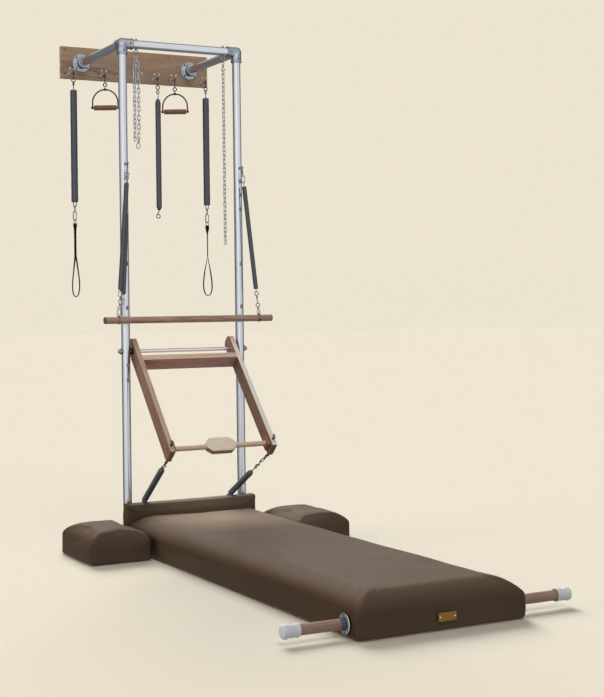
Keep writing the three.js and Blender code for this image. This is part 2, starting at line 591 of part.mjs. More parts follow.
// ---------------------------------------------------------------- chains
// eye bolts through the crossbar: nut above, ring below
CHAIN_X.forEach((x, i) => {
  add(`chain_eye_${i ? 'right' : 'left'}`, join(
    rod(V(x, 0, TOP_Z - 25), V(x, 0, TOP_Z + 27), 3, 10),
    turned(V(x, 0, TOP_Z + 19.4), V(x, 0, TOP_Z + 60), [[0, 0], [6.4, 0], [6.4, 5], [0, 5]], 6),
    rod(V(x, 0, TOP_Z - 21.6), V(x, 0, TOP_Z - 19.4), 6, 12),
    ring(V(x, 0, TOP_Z - 32), 8.6, 2.4, 'xz', 12),
  ), wire);
});
// a run of link chain: two crossed strips as wide as the links and as heavy as their wire
function links(a, b) {
  const d = new THREE.Vector3().subVectors(b, a);
  const q = new THREE.Quaternion().setFromUnitVectors(UP, d.clone().normalize());
  return [[16, 1.1], [1.1, 16]].map(([w, t]) => {
    const g = new THREE.BoxGeometry(w, d.length(), t);
    g.applyQuaternion(q);
    return g.translate((a.x + b.x) / 2, (a.y + b.y) / 2, (a.z + b.z) / 2);
  });
}
const CHAIN_LOOP_Z = TOP_Z - 32 - 8.6 - 1.6;
// left chain hung by its middle, so that two strands hang side by side
{
  const x = CHAIN_X[0];
  const z = CHAIN_LOOP_Z;
  add('chain_left', join(
    ring(V(x, 0, z), 6.6, 1.8, 'yz'),
    rod(V(x, 0, z - 6), V(x, 0, z - 16), 3, 8),
    ...links(V(x, 0, z - 12), V(x - 9.5, 0, z - 60)),
    ...links(V(x, 0, z - 12), V(x + 9.5, 0, z - 60)),
    ...links(V(x - 9.5, 0, z - 52), V(x - 9.5, 0, 1766)),
    ...links(V(x + 9.5, 0, z - 52), V(x + 9.5, 0, 1782)),
    rod(V(x + 9.5, 0, 1790), V(x + 4, 0, 1732), 4, 8),
  ), wire);
}
{
  const x = CHAIN_X[1];
  const z = CHAIN_LOOP_Z;
  add('chain_right', join(
    ring(V(x, 0, z), 6.6, 1.8, 'yz'),
    rod(V(x, 0, z - 6), V(x, 0, z - 40), 3, 8),
    ...links(V(x, 0, z - 36), V(x, 0, 1315)),
  ), wire);
}

// ---------------------------------------------------------------- mat
{
  // plywood base: deck on a grid of rails, open underneath
  const cells = [];
  const y0 = MAT_FOOT + 14, y1 = MAT_HEAD - 14;
  const cols = 3, rows = 8, wall = 15;
  const cw = (2 * BASE_HALF - wall * (cols + 1)) / cols;
  const cd = (y1 - y0 - wall * (rows + 1)) / rows;
  for (let i = 0; i < cols; i++) {
    for (let j = 0; j < rows; j++) {
      const a = -BASE_HALF + wall + i * (cw + wall), b = y0 + wall + j * (cd + wall);
      cells.push(box(a, a + cw, b, b + cd, -5, BASE_TOP - 12));
    }
  }
  const bore = rod(V(-400, DOWEL_Y, DOWEL_Z), V(400, DOWEL_Y, DOWEL_Z), DOWEL_R + 0.6, 20);
  add('mat_base', cut(box(-BASE_HALF, BASE_HALF, y0, y1, 0, BASE_TOP), ...cells, bore), ply);
  add('mat_pad', cut(
    pillow(-MAT_HALF, MAT_HALF, MAT_FOOT, MAT_HEAD, 0.5, MAT_TOP, 14, 92, 100),
    box(-BASE_HALF - 0.4, BASE_HALF + 0.4, y0 - 0.4, y1 + 0.4, -5, BASE_TOP + 0.4),
    bore,
  ), vinyl);
}
add('headboard_pad', cushion(-320, 307, -100, -47, 0.5, PAD_TOP, 12, 9), vinyl);
add('side_box_left', pillow(-589, -589 + BLOCK.w, -415, -415 + BLOCK.d, 0, BLOCK.h, 12, 82, 70), vinyl);
add('side_box_right', pillow(589 - BLOCK.w, 589, -447, -447 + BLOCK.d, 0, BLOCK.h, 12, 82, 70), vinyl);
add('badge_plate', plateXZ(roundRect(-30, 39, 31, 60, 3), MAT_FOOT - 0.3 - BADGE_T, MAT_FOOT - 0.3, 0.4, 2), brass);

// foot dowel through the mat's end, with a bushed plate on each side and a rubber tip on each end
add('foot_dowel', rod(V(-534, DOWEL_Y, DOWEL_Z), V(554, DOWEL_Y, DOWEL_Z), DOWEL_R, 20), beech);
for (const [side, s] of [['left', -1], ['right', 1]]) {
  add(`dowel_collar_${side}`, turned(V(s * (MAT_HALF + 0.3), DOWEL_Y, DOWEL_Z), V(s * 400, DOWEL_Y, DOWEL_Z), [
    [DOWEL_R + 0.6, 0], [33, 0], [33, 2], [31.5, 3], [24, 3], [22.5, 7.5], [DOWEL_R + 0.6, 7.5], [DOWEL_R + 0.6, 0],
  ], 20), cast);
  const end = s < 0 ? -534.3 : 554.3;
  const tip = [[0, 6], [13, 6], [22.6, 0], [23.4, -10], [20.6, -24], [20.6, -44], [22.4, -46], [22.4, -52], [20.6, -54], [DOWEL_R + 0.4, -54], [DOWEL_R + 0.4, 0], [0, 0]];
  add(`dowel_tip_${side}`, turned(V(end, DOWEL_Y, DOWEL_Z), V(s * 900, DOWEL_Y, DOWEL_Z), tip.slice().reverse(), 18), rubber);
}

export default whole;
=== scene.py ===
import math

import bmesh
import bpy
import numpy as np
from mathutils import Matrix, Vector, noise


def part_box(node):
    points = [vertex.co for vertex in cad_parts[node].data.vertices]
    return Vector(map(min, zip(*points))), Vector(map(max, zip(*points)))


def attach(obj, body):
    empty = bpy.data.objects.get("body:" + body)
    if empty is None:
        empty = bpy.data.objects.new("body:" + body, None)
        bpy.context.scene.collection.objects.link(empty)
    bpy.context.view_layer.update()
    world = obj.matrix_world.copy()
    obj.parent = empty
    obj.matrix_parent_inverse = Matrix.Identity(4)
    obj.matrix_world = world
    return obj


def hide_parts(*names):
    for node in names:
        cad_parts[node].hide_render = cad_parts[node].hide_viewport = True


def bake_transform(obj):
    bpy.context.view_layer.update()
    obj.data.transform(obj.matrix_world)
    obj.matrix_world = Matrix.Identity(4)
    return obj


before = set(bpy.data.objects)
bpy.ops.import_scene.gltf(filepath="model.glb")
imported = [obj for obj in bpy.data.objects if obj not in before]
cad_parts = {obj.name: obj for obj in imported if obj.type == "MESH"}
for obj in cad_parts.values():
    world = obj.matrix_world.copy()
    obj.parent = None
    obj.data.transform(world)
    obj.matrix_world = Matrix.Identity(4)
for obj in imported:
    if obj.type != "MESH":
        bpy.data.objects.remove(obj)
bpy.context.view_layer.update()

# ------------------------------------------------------------------ places (tower millimetres, as in the solids)
FY = 750.9
ROOT = "tower_and_mat"
HALF = 276.0
TOP_Z = 2194.0
BOARD_Y = 542.0
AXLE_Z = 844.0
TILT = math.radians(43)
ARM_OUT, ARM_T, ARM_D, ARM_TOP, ARM_LEN = 246.5, 22.0, 70.0, 58.0, 585.0
ARM_IN = ARM_OUT - ARM_T
BAR_S = 546.0
PTB_EYE = (235.5, ARM_D / 2 + 13.5, -570.0)
ANCHOR_X, ANCHOR_Z = 205.0, 177.0
HANG_Y, ROLL_Z, ROLL_R = -53.0, 981.0, 15.0
ROLL_X = (-393.0, 413.0)
ROLL_LOOP_X = (-326.0, 348.0)
EYE_Z, EYE_Y = 1664.0, -40.0
HOOK_Z, HOOK_Y, BESIDE = 2140.0, 503.0, 5.2
HANG_Z = HOOK_Z - 1.9
HOOKS = {"leg_left": -334.0, "handle_left": -178.0, "arm": 90.0, "handle_right": 179.0, "leg_right": 342.0}
GRIP_Z = 1983.5
GRIP_TURN = math.radians(27)
CHAIN_X = (-211.0, 210.0)
CHAIN_LOOP_Z = TOP_Z - 32 - 8.6 - 1.6
MAT_HALF, MAT_HEAD, MAT_FOOT, MAT_TOP = 317.0, -100.6, -2067.0, 137.0
DOWEL_Y, DOWEL_Z, DOWEL_R = -1977.0, 43.0, 17.5


def P(v):
    """tower millimetres to row metres; takes one point or an array of them"""
    a = np.asarray(v, float)
    return (a + np.array([0.0, FY, 0.0])) / 1000.0


def on_frame(x, y, z, t=TILT):
    return np.array([x, y * math.cos(t) + z * math.sin(t), AXLE_Z - y * math.sin(t) + z * math.cos(t)])


# ------------------------------------------------------------------ camera at the photograph's viewing angle
def make_camera():
    yaw, pitch, roll = math.radians(28.02), math.radians(0.698), math.radians(-0.787)
    f = Vector((math.sin(yaw) * math.cos(pitch), math.cos(yaw) * math.cos(pitch), math.sin(pitch)))
    r0 = Vector((math.cos(yaw), -math.sin(yaw), 0))
    u0 = r0.cross(f)
    r = math.cos(roll) * r0 + math.sin(roll) * u0
    u = -math.sin(roll) * r0 + math.cos(roll) * u0
    cam = bpy.data.cameras.new("camera")
    cam.sensor_width = 36
    cam.lens = 1400.19 / 697 * 36
    cam.shift_y = -58.79 / 697
    cam.shift_x = 0.0
    cam.clip_start, cam.clip_end = 0.1, 200
    obj = bpy.data.objects.new("camera", cam)
    bpy.context.scene.collection.objects.link(obj)
    m = Matrix((r, u, -f)).transposed().to_4x4()
    m.translation = Vector(P((-2470.4, -5771.4, 1028.9)))
    obj.matrix_world = m
    bpy.context.scene.camera = obj


make_camera()


# ------------------------------------------------------------------ materials
def new_material(name):
    m = bpy.data.materials.new(name)
    m.use_nodes = True
    nt = m.node_tree
    bsdf = nt.nodes["Principled BSDF"]
    return m, nt, bsdf


def node(nt, kind, **inputs):
    n = nt.nodes.new(kind)
    for k, v in inputs.items():
        n.inputs[k.replace("_", " ")].default_value = v
    return n


def coords(nt, scale, kind="Object", rot=(0, 0, 0)):
    tc = nt.nodes.new("ShaderNodeTexCoord")
    mp = nt.nodes.new("ShaderNodeMapping")
    mp.inputs["Scale"].default_value = scale
    mp.inputs["Rotation"].default_value = rot
    nt.links.new(tc.outputs[kind], mp.inputs["Vector"])
    return mp.outputs["Vector"]


def ramp(nt, fac, stops):
    r = nt.nodes.new("ShaderNodeValToRGB")
    el = r.color_ramp.elements
    while len(el) < len(stops):
        el.new(0.5)
    for e, (p, c) in zip(el, stops):
        e.position = p
        e.color = (*c, 1) if len(c) == 3 else c
    nt.links.new(fac, r.inputs["Fac"])
    return r.outputs["Color"]


def value_ramp(nt, fac, lo, hi, a=0.3, b=0.7):
    m = nt.nodes.new("ShaderNodeMapRange")
    m.inputs["From Min"].default_value = a
    m.inputs["From Max"].default_value = b
    m.inputs["To Min"].default_value = lo
    m.inputs["To Max"].default_value = hi
    nt.links.new(fac, m.inputs["Value"])
    return m.outputs["Result"]


def bump(nt, bsdf, height, strength, distance, normal=None):
    b = nt.nodes.new("ShaderNodeBump")
    b.inputs["Strength"].default_value = strength
    b.inputs["Distance"].default_value = distance
    nt.links.new(height, b.inputs["Height"])
    if normal is not None:
        nt.links.new(normal, b.inputs["Normal"])
    nt.links.new(b.outputs["Normal"], bsdf.inputs["Normal"])
    return b.outputs["Normal"]


def noise_tex(nt, vector, scale, detail=4, rough=0.5, distortion=0.0):
    n = node(nt, "ShaderNodeTexNoise", Scale=scale, Detail=detail, Roughness=rough, Distortion=distortion)
    nt.links.new(vector, n.inputs["Vector"])
    return n.outputs["Fac"]


def metal(name, dark, light, rough, spots=60.0, stretch=(1, 1, 1), bump_strength=0.08, metallic=1.0):
    """bright metal with a little cloudiness, fine dents and uneven polish"""
    m, nt, b = new_material(name)
    b.inputs["Metallic"].default_value = metallic
    v = coords(nt, stretch)
    cloud = noise_tex(nt, v, spots, 5, 0.6)
    nt.links.new(ramp(nt, cloud, [(0.3, dark), (0.7, light)]), b.inputs["Base Color"])
    fine = noise_tex(nt, v, spots * 7, 3, 0.7)
    nt.links.new(value_ramp(nt, fine, rough[0], rough[1]), b.inputs["Roughness"])
    bump(nt, b, fine, bump_strength, 0.0004)
    return m


def wood(name, tones, axis, ring_scale=26.0, rough=(0.36, 0.5), coat=0.25, along=0.06, fleck=0.35):
    """varnished wood with growth rings drawn out along axis, pores and flecks"""
    m, nt, b = new_material(name)
    s = [1.0, 1.0, 1.0]
    s[axis] = along
    v = coords(nt, tuple(s))
    n = noise_tex(nt, v, ring_scale, 3, 0.55, 0.6)
    mul = nt.nodes.new("ShaderNodeMath")
    mul.operation = "MULTIPLY"
    mul.inputs[1].default_value = 7.0
    nt.links.new(n, mul.inputs[0])
    saw = nt.nodes.new("ShaderNodeMath")
    saw.operation = "PINGPONG"
    saw.inputs[1].default_value = 1.0
    nt.links.new(mul.outputs[0], saw.inputs[0])
    soft = nt.nodes.new("ShaderNodeMath")
    soft.operation = "POWER"
    soft.inputs[1].default_value = 1.6
    nt.links.new(saw.outputs[0], soft.inputs[0])
    base = ramp(nt, soft.outputs[0], [(0.0, tones[0]), (0.55, tones[1]), (1.0, tones[2])])
    s2 = [420.0, 420.0, 420.0]
    s2[axis] = 16.0
    pores = noise_tex(nt, coords(nt, tuple(s2)), 1.0, 2, 0.6)
    dark = ramp(nt, pores, [(0.36, tuple(c * 0.62 for c in tones[0])), (0.46, (1, 1, 1))])
    mix = nt.nodes.new("ShaderNodeMix")
    mix.data_type = "RGBA"
    mix.blend_type = "MULTIPLY"
    mix.inputs["Factor"].default_value = fleck
    nt.links.new(base, mix.inputs[6])
    nt.links.new(dark, mix.inputs[7])
    nt.links.new(mix.outputs[2], b.inputs["Base Color"])
    nt.links.new(value_ramp(nt, n, rough[0], rough[1]), b.inputs["Roughness"])
    b.inputs["Specular IOR Level"].default_value = 0.32
    b.inputs["Coat Weight"].default_value = coat * 0.5
    b.inputs["Coat Roughness"].default_value = 0.22
    bump(nt, b, pores, 0.12, 0.0002)
    return m


MAT = {}
MAT["tube"] = metal("tube_steel", (0.57, 0.602, 0.638), (0.67, 0.702, 0.738), (0.20, 0.27), 12.0, (1, 1, 0.12), 0.02)
MAT["tube_y"] = metal("tube_steel_rear", (0.57, 0.602, 0.638), (0.67, 0.702, 0.738), (0.20, 0.27), 12.0, (1, 0.12, 1), 0.02)
MAT["tube_x"] = metal("tube_steel_cross", (0.64, 0.662, 0.682), (0.74, 0.762, 0.782), (0.20, 0.27), 12.0, (0.12, 1, 1), 0.02)
MAT["fitting"] = metal("galvanised_casting", (0.19, 0.21, 0.245), (0.50, 0.53, 0.575), (0.13, 0.28), 38.0, (1, 1, 1), 0.30)
MAT["chrome"] = metal("plated_wire", (0.20, 0.20, 0.205), (0.44, 0.44, 0.45), (0.10, 0.20), 120.0, (1, 1, 1), 0.04)
MAT["chain"] = metal("chain_wire", (0.34, 0.355, 0.37), (0.62, 0.64, 0.66), (0.12, 0.26), 90.0, (1, 1, 1), 0.05)
MAT["dark_wire"] = metal("dark_wire", (0.025, 0.023, 0.022), (0.075, 0.07, 0.065), (0.26, 0.42), 120.0, (1, 1, 1), 0.08, 0.85)
MAT["bright"] = metal("bright_plated", (0.55, 0.56, 0.57), (0.76, 0.77, 0.78), (0.08, 0.18), 120.0, (1, 1, 1), 0.03)
MAT["screw"] = metal("screw_heads", (0.05, 0.05, 0.05), (0.13, 0.12, 0.11), (0.3, 0.45), 160.0, (1, 1, 1), 0.05, 0.9)
BEECH = [(0.47, 0.280, 0.205), (0.56, 0.350, 0.262), (0.39, 0.222, 0.160)]
# SIDE: a darker copy of the arms' beech for their sides and blocks: painted shade
SIDE = [(0.275, 0.143, 0.098), (0.33, 0.180, 0.127), (0.22, 0.111, 0.075)]
PALE = [(0.74, 0.560, 0.430), (0.82, 0.650, 0.520), (0.64, 0.460, 0.340)]
DULL = [(0.45, 0.285, 0.212), (0.54, 0.355, 0.268), (0.35, 0.212, 0.155)]
# SOFT: light beech, the push-through dowel's tone and painted light on the cross board's front face
SOFT = [(0.76, 0.540, 0.410), (0.84, 0.625, 0.495), (0.66, 0.450, 0.330)]
MAT["soft_x"] = wood("beech_light_and_painted_light", SOFT, 0)
MAT["ruddy_x"] = wood("beech_ruddy", [(0.60, 0.340, 0.290), (0.70, 0.420, 0.360), (0.51, 0.280, 0.235)], 0)
# lighter copy of the arms' beech, for the left arm's front edge: painted light
MAT["soft_z"] = wood("beech_arm_painted_light", [(0.60, 0.400, 0.283), (0.67, 0.470, 0.340), (0.53, 0.335, 0.230)], 2)
# pale beech for the paddle: painted highlight standing in for the glare off it
MAT["pale_x"] = wood("beech_pale_painted_highlight", [(0.93, 0.790, 0.640), (0.96, 0.840, 0.700), (0.88, 0.720, 0.570)], 0)
# near-white copy of the arms' beech, for the right arm's front edge: painted highlight
MAT["pale_z"] = wood("beech_pale_arm_painted_highlight", [(0.95, 0.880, 0.800), (0.97, 0.910, 0.840), (0.92, 0.840, 0.750)], 2)
# darker beech: the roll-down bar's own tone, and painted shade on the paddle's underside
MAT["dull_x"] = wood("beech_dark_and_painted_shade", DULL, 0)
MAT["beech_x"] = wood("beech_across", BEECH, 0)
MAT["beech_z"] = wood("beech_arms_painted_shade", SIDE, 2)
MAT["low_x"] = wood("beech_low", [(0.31, 0.190, 0.140), (0.38, 0.240, 0.182), (0.24, 0.142, 0.104)], 0)
MAT["beech_frame"] = MAT["beech_z"]
MAT["board"] = wood("board_timber", [(0.46, 0.305, 0.200), (0.56, 0.380, 0.258), (0.31, 0.200, 0.130)], 0, 5.5, (0.45, 0.6), 0.06, 0.22, 0.3)
MAT["grip"] = wood("grip_timber", [(0.25, 0.105, 0.034), (0.33, 0.150, 0.052), (0.16, 0.062, 0.020)], 0, 40.0, (0.26, 0.38), 0.5, 0.08, 0.4)


def vinyl():
    """upholstery vinyl: fine pebbled grain, slow colour drift and uneven gloss; painted light: a lighter top and a
    painted highlight round the head end
    """
    m, nt, b = new_material("brown_vinyl")
    v = coords(nt, (1, 1, 1))
    slow = noise_tex(nt, v, 3.0, 3, 0.5)
    base = ramp(nt, slow, [(0.3, (0.060, 0.0355, 0.0190)), (0.7, (0.072, 0.0435, 0.0245))])
    dist = nt.nodes.new("ShaderNodeVectorMath")
    dist.operation = "DISTANCE"
    dist.inputs[1].default_value = (0.05, 0.46, 0.13)
    nt.links.new(v, dist.inputs[0])
    # painted highlight: a wide lighter zone round the head end
    painted_head_glow = nt.nodes.new("ShaderNodeMapRange")
    painted_head_glow.interpolation_type = "SMOOTHSTEP"
    painted_head_glow.inputs["From Min"].default_value = 1.15
    painted_head_glow.inputs["From Max"].default_value = 0.10
    nt.links.new(dist.outputs["Value"], painted_head_glow.inputs["Value"])
    mix = nt.nodes.new("ShaderNodeMix")
    mix.data_type = "RGBA"
    nt.links.new(painted_head_glow.outputs["Result"], mix.inputs["Factor"])
    nt.links.new(base, mix.inputs[6])
    mix.inputs[7].default_value = (0.080, 0.052, 0.031, 1)
    sep = nt.nodes.new("ShaderNodeSeparateXYZ")
    nt.links.new(v, sep.inputs[0])
    # painted light: the top of each cushion lighter than its sides, faded in by height
    painted_top_light = nt.nodes.new("ShaderNodeMapRange")
    painted_top_light.interpolation_type = "SMOOTHSTEP"
    painted_top_light.inputs["From Min"].default_value = 0.088
    painted_top_light.inputs["From Max"].default_value = 0.132
    nt.links.new(sep.outputs["Z"], painted_top_light.inputs["Value"])
    top = nt.nodes.new("ShaderNodeMix")
    top.data_type = "RGBA"
    nt.links.new(painted_top_light.outputs["Result"], top.inputs["Factor"])
    nt.links.new(mix.outputs[2], top.inputs[6])
    top.inputs[7].default_value = (0.088, 0.059, 0.037, 1)
    mix = top
    # painted highlight: paler still in a narrow zone at the head end
    painted_head_highlight = nt.nodes.new("ShaderNodeMapRange")
    painted_head_highlight.interpolation_type = "SMOOTHSTEP"
    painted_head_highlight.inputs["From Min"].default_value = 0.47
    painted_head_highlight.inputs["From Max"].default_value = 0.0
    nt.links.new(dist.outputs["Value"], painted_head_highlight.inputs["Value"])
    head = nt.nodes.new("ShaderNodeMix")
    head.data_type = "RGBA"
    nt.links.new(painted_head_highlight.outputs["Result"], head.inputs["Factor"])
    nt.links.new(mix.outputs[2], head.inputs[6])
    head.inputs[7].default_value = (0.240, 0.178, 0.125, 1)
    nt.links.new(head.outputs[2], b.inputs["Base Color"])
    cells = node(nt, "ShaderNodeTexVoronoi", Scale=520.0, Randomness=1.0)
    cells.feature = "DISTANCE_TO_EDGE"
    nt.links.new(v, cells.inputs["Vector"])
    fine = noise_tex(nt, v, 900.0, 3, 0.6)
    add = nt.nodes.new("ShaderNodeMath")
    add.operation = "MULTIPLY_ADD"
    add.inputs[1].default_value = 0.7
    nt.links.new(cells.outputs["Distance"], add.inputs[0])
    nt.links.new(fine, add.inputs[2])
    nt.links.new(value_ramp(nt, slow, 0.36, 0.46), b.inputs["Roughness"])
    b.inputs["Specular IOR Level"].default_value = 0.17
    b.inputs["Specular Tint"].default_value = (1.0, 0.93, 0.84, 1)
    b.inputs["Sheen Weight"].default_value = 0.0
    b.inputs["Sheen Roughness"].default_value = 0.5
    b.inputs["Sheen Tint"].default_value = (0.9, 0.8, 0.7, 1)
    bump(nt, b, add.outputs[0], 0.22, 0.0004)
    return m


def sleeve_cover(name="sleeve_cover", dark=(0.006, 0.007, 0.009), light=(0.018, 0.020, 0.026)):
    """black woven cover stretched over a coil: threads wound at an angle, dusty crests"""
    m, nt, b = new_material(name)
    v = coords(nt, (1, 1, 1))
    dust = noise_tex(nt, v, 45.0, 4, 0.6)
    nt.links.new(ramp(nt, dust, [(0.3, dark), (0.75, light)]), b.inputs["Base Color"])
    w = node(nt, "ShaderNodeTexWave", Scale=260.0, Distortion=1.5, Detail=1.0)
    w.bands_direction = "DIAGONAL"
    nt.links.new(v, w.inputs["Vector"])
    nt.links.new(value_ramp(nt, dust, 0.26, 0.38), b.inputs["Roughness"])
    b.inputs["IOR"].default_value = 1.62
    b.inputs["Specular IOR Level"].default_value = 0.85
    b.inputs["Specular Tint"].default_value = (0.88, 0.93, 1.0, 1)
    bump(nt, b, w.outputs["Fac"], 0.22, 0.0004)
    return m


def webbing():
    m, nt, b = new_material("black_webbing")
    v = coords(nt, (1, 1, 1))
    a = node(nt, "ShaderNodeTexWave", Scale=210.0, Distortion=0.4)
    a.bands_direction = "Z"
    c = node(nt, "ShaderNodeTexWave", Scale=260.0, Distortion=0.4)
    c.bands_direction = "Y"
    nt.links.new(v, a.inputs["Vector"])
    nt.links.new(v, c.inputs["Vector"])
    mx = nt.nodes.new("ShaderNodeMath")
    mx.operation = "MULTIPLY"
    nt.links.new(a.outputs["Fac"], mx.inputs[0])
    nt.links.new(c.outputs["Fac"], mx.inputs[1])
    nt.links.new(ramp(nt, mx.outputs[0], [(0.1, (0.002, 0.002, 0.002)), (0.7, (0.011, 0.011, 0.011))]), b.inputs["Base Color"])
    b.inputs["Roughness"].default_value = 0.85
    b.inputs["Specular IOR Level"].default_value = 0.2
    bump(nt, b, mx.outputs[0], 0.6, 0.0006)
    return m


def rubber(name, dark, light, rough=0.62):
    m, nt, b = new_material(name)
    v = coords(nt, (1, 1, 1))
    n = noise_tex(nt, v, 40.0, 5, 0.6)
    nt.links.new(ramp(nt, n, [(0.3, dark), (0.7, light)]), b.inputs["Base Color"])
    f = noise_tex(nt, v, 600.0, 3, 0.6)
    nt.links.new(value_ramp(nt, f, rough - 0.08, rough + 0.06), b.inputs["Roughness"])
    bump(nt, b, f, 0.15, 0.0003)
    return m


def brass():
    m, nt, b = new_material("bare_brass")
    v = coords(nt, (60, 900, 900))
    n = noise_tex(nt, v, 1.0, 3, 0.6)
    nt.links.new(ramp(nt, n, [(0.3, (0.165, 0.088, 0.018)), (0.7, (0.24, 0.138, 0.034))]), b.inputs["Base Color"])
    b.inputs["Metallic"].default_value = 1.0
    nt.links.new(value_ramp(nt, n, 0.34, 0.46), b.inputs["Roughness"])
    bump(nt, b, n, 0.06, 0.0002)
    return m


def plywood():
    m, nt, b = new_material("plywood")
    v = coords(nt, (0.3, 0.05, 1))
    n = noise_tex(nt, v, 40.0, 5, 0.6, 0.4)
    nt.links.new(ramp(nt, n, [(0.3, (0.42, 0.29, 0.16)), (0.7, (0.58, 0.43, 0.26))]), b.inputs["Base Color"])
    b.inputs["Roughness"].default_value = 0.7
    bump(nt, b, n, 0.2, 0.0005)
    return m


MAT["vinyl"] = vinyl()
MAT["sleeve"] = sleeve_cover()
# lighter copy of the sleeve cover for the push-through springs: painted light standing in for their missing reflections
MAT["sleeve_low"] = sleeve_cover("sleeve_cover_painted_light", (0.072, 0.088, 0.124), (0.106, 0.128, 0.174))
MAT["web"] = webbing()
MAT["tip"] = rubber("grey_rubber", (0.63, 0.65, 0.68), (0.71, 0.73, 0.76), 0.55)
MAT["bush"] = rubber("dark_bush", (0.045, 0.045, 0.07), (0.07, 0.07, 0.11), 0.5)
MAT["seam"] = rubber("seam_shade", (0.016, 0.011, 0.008), (0.026, 0.018, 0.013), 0.7)
MAT["end"] = rubber("end_grain", (0.085, 0.06, 0.045), (0.15, 0.11, 0.085), 0.6)
MAT["black"] = rubber("black_plastic", (0.010, 0.010, 0.011), (0.022, 0.022, 0.024), 0.45)
MAT["brass"] = brass()
MAT["ply"] = plywood()
MAT["piping"] = MAT["vinyl"]


# ------------------------------------------------------------------ mesh helpers (all take tower millimetres)
class Mesh:
    def __init__(self):
        self.v, self.f, self.m = [], [], []
        self.mats = []

    def slot(self, mat):
        if mat not in self.mats:
            self.mats.append(mat)
        return self.mats.index(mat)

    def add(self, v, f, mat):
        base = sum(len(a) for a in self.v)
        self.v.append(np.asarray(v, float).reshape(-1, 3))
        k = self.slot(mat)
        for q in f:
            self.f.append(tuple(int(i) + base for i in q))
            self.m.append(k)
        return self

    def lathe(self, a, b, profile, mat, seg=32, closed=False):
        """turned shape: profile of (radius, distance) along a to b"""
        a, b = np.array(a, float), np.array(b, float)
        d = (b - a) / np.linalg.norm(b - a)
        h = np.array([0, 0, 1.0]) if abs(d[2]) < 0.9 else np.array([1.0, 0, 0])
        e1 = np.cross(d, h)
        e1 /= np.linalg.norm(e1)
        e2 = np.cross(d, e1)
        t = np.arange(seg) * 2 * math.pi / seg
        circle = np.cos(t)[:, None] * e1 + np.sin(t)[:, None] * e2
        v, rows = [], []
        for r, s in profile:
            if r < 1e-6:
                rows.append([len(v)])
                v.append(a + d * s)
            else:
                rows.append(list(range(len(v), len(v) + seg)))
                v.extend(a + d * s + circle * r)
        f = []
        pairs = list(zip(rows, rows[1:])) + ([(rows[-1], rows[0])] if closed else [])
        for p, q in pairs:
            for i in range(seg):
                j = (i + 1) % seg
                if len(p) == 1 and len(q) == 1:
                    continue
                if len(p) == 1:
                    f.append((p[0], q[j], q[i]))
                elif len(q) == 1:
                    f.append((p[i], p[j], q[0]))
                else:
                    f.append((p[i], p[j], q[j], q[i]))
        return self.add(v, f, mat)

    def sweep(self, pts, r, mat, sides=10, closed=False, cap=True, smooth=0):
        """round wire along points; r is one radius or one for each point"""
        p = np.array(pts, float)
        if smooth:
            p = spline(p, smooth, closed)
        n = len(p)
        rr = np.full(n, r, float) if np.isscalar(r) else np.interp(np.linspace(0, 1, n), np.linspace(0, 1, len(r)), r)
        if closed:
            tan = np.roll(p, -1, 0) - np.roll(p, 1, 0)
        else:
            tan = np.gradient(p, axis=0)
        tan /= np.linalg.norm(tan, axis=1)[:, None]
        h = np.array([0, 0, 1.0]) if abs(tan[0][2]) < 0.9 else np.array([0, 1.0, 0])
        e = np.cross(tan[0], h)
        e /= np.linalg.norm(e)
        frames = [e]
        for i in range(1, n):
            e = frames[-1] - tan[i] * (frames[-1] @ tan[i])
            frames.append(e / np.linalg.norm(e))
        if closed:  # spread the twist left over round the loop
            e = frames[-1] - tan[0] * (frames[-1] @ tan[0])
            e /= np.linalg.norm(e)
            g = np.cross(tan[0], frames[0])
            twist = math.atan2(e @ g, e @ frames[0])
        else:
            twist = 0.0
        v = []
        for i in range(n):
            e1 = frames[i]
            e2 = np.cross(tan[i], e1)
            off = -twist * i / n
            t = np.arange(sides) * 2 * math.pi / sides + off
            v.extend(p[i] + rr[i] * (np.cos(t)[:, None] * e1 + np.sin(t)[:, None] * e2))
        f = []
        for i in range(n if closed else n - 1):
            k = (i + 1) % n
            for j in range(sides):
                l = (j + 1) % sides
                f.append((i * sides + j, i * sides + l, k * sides + l, k * sides + j))
        if cap and not closed:
            f.append(tuple(range(sides))[::-1])
            f.append(tuple((n - 1) * sides + j for j in range(sides)))
        return self.add(v, f, mat)

    def ring(self, c, R, r, mat, plane="yz", seg=28, sides=10, squash=1.0):
        t = np.arange(seg) * 2 * math.pi / seg
        a, b = R * np.cos(t), R * squash * np.sin(t)
        z = np.zeros(seg)
        p = {"yz": (z, a, b), "xz": (a, z, b), "xy": (a, b, z)}[plane]
        return self.sweep(np.stack(p, 1) + np.array(c, float), r, mat, sides, True)

    def oval(self, a, b, half, r, mat, side, seg=8, sides=8):
        """closed oval of wire from a to b, half wide, lying in the plane of ab and side"""
        a, b = np.array(a, float), np.array(b, float)
        d = b - a
        L = np.linalg.norm(d)
        d /= L
        s = np.array(side, float)
        s -= d * (s @ d)
        s /= np.linalg.norm(s)
        pts = []
        for i in range(seg + 1):
            t = math.pi * i / seg
            pts.append(a + d * (half - half * math.sin(t)) + s * half * math.cos(t))
        for i in range(seg + 1):
            t = math.pi * i / seg
            pts.append(b - d * (half - half * math.sin(t)) - s * half * math.cos(t))
        return self.sweep(pts, r, mat, sides, True)

    def ball(self, c, r, mat, seg=16, rings=8, scale=(1, 1, 1)):
        prof = [(r * math.sin(math.pi * i / rings), -r * math.cos(math.pi * i / rings)) for i in range(rings + 1)]
        prof[0] = (0, -r)
        prof[-1] = (0, r)
        before = len(self.v)
        self.lathe((0, 0, 0), (0, 0, 1), prof, mat, seg)
        self.v[before] = self.v[before] * np.array(scale) + np.array(c, float)
        return self

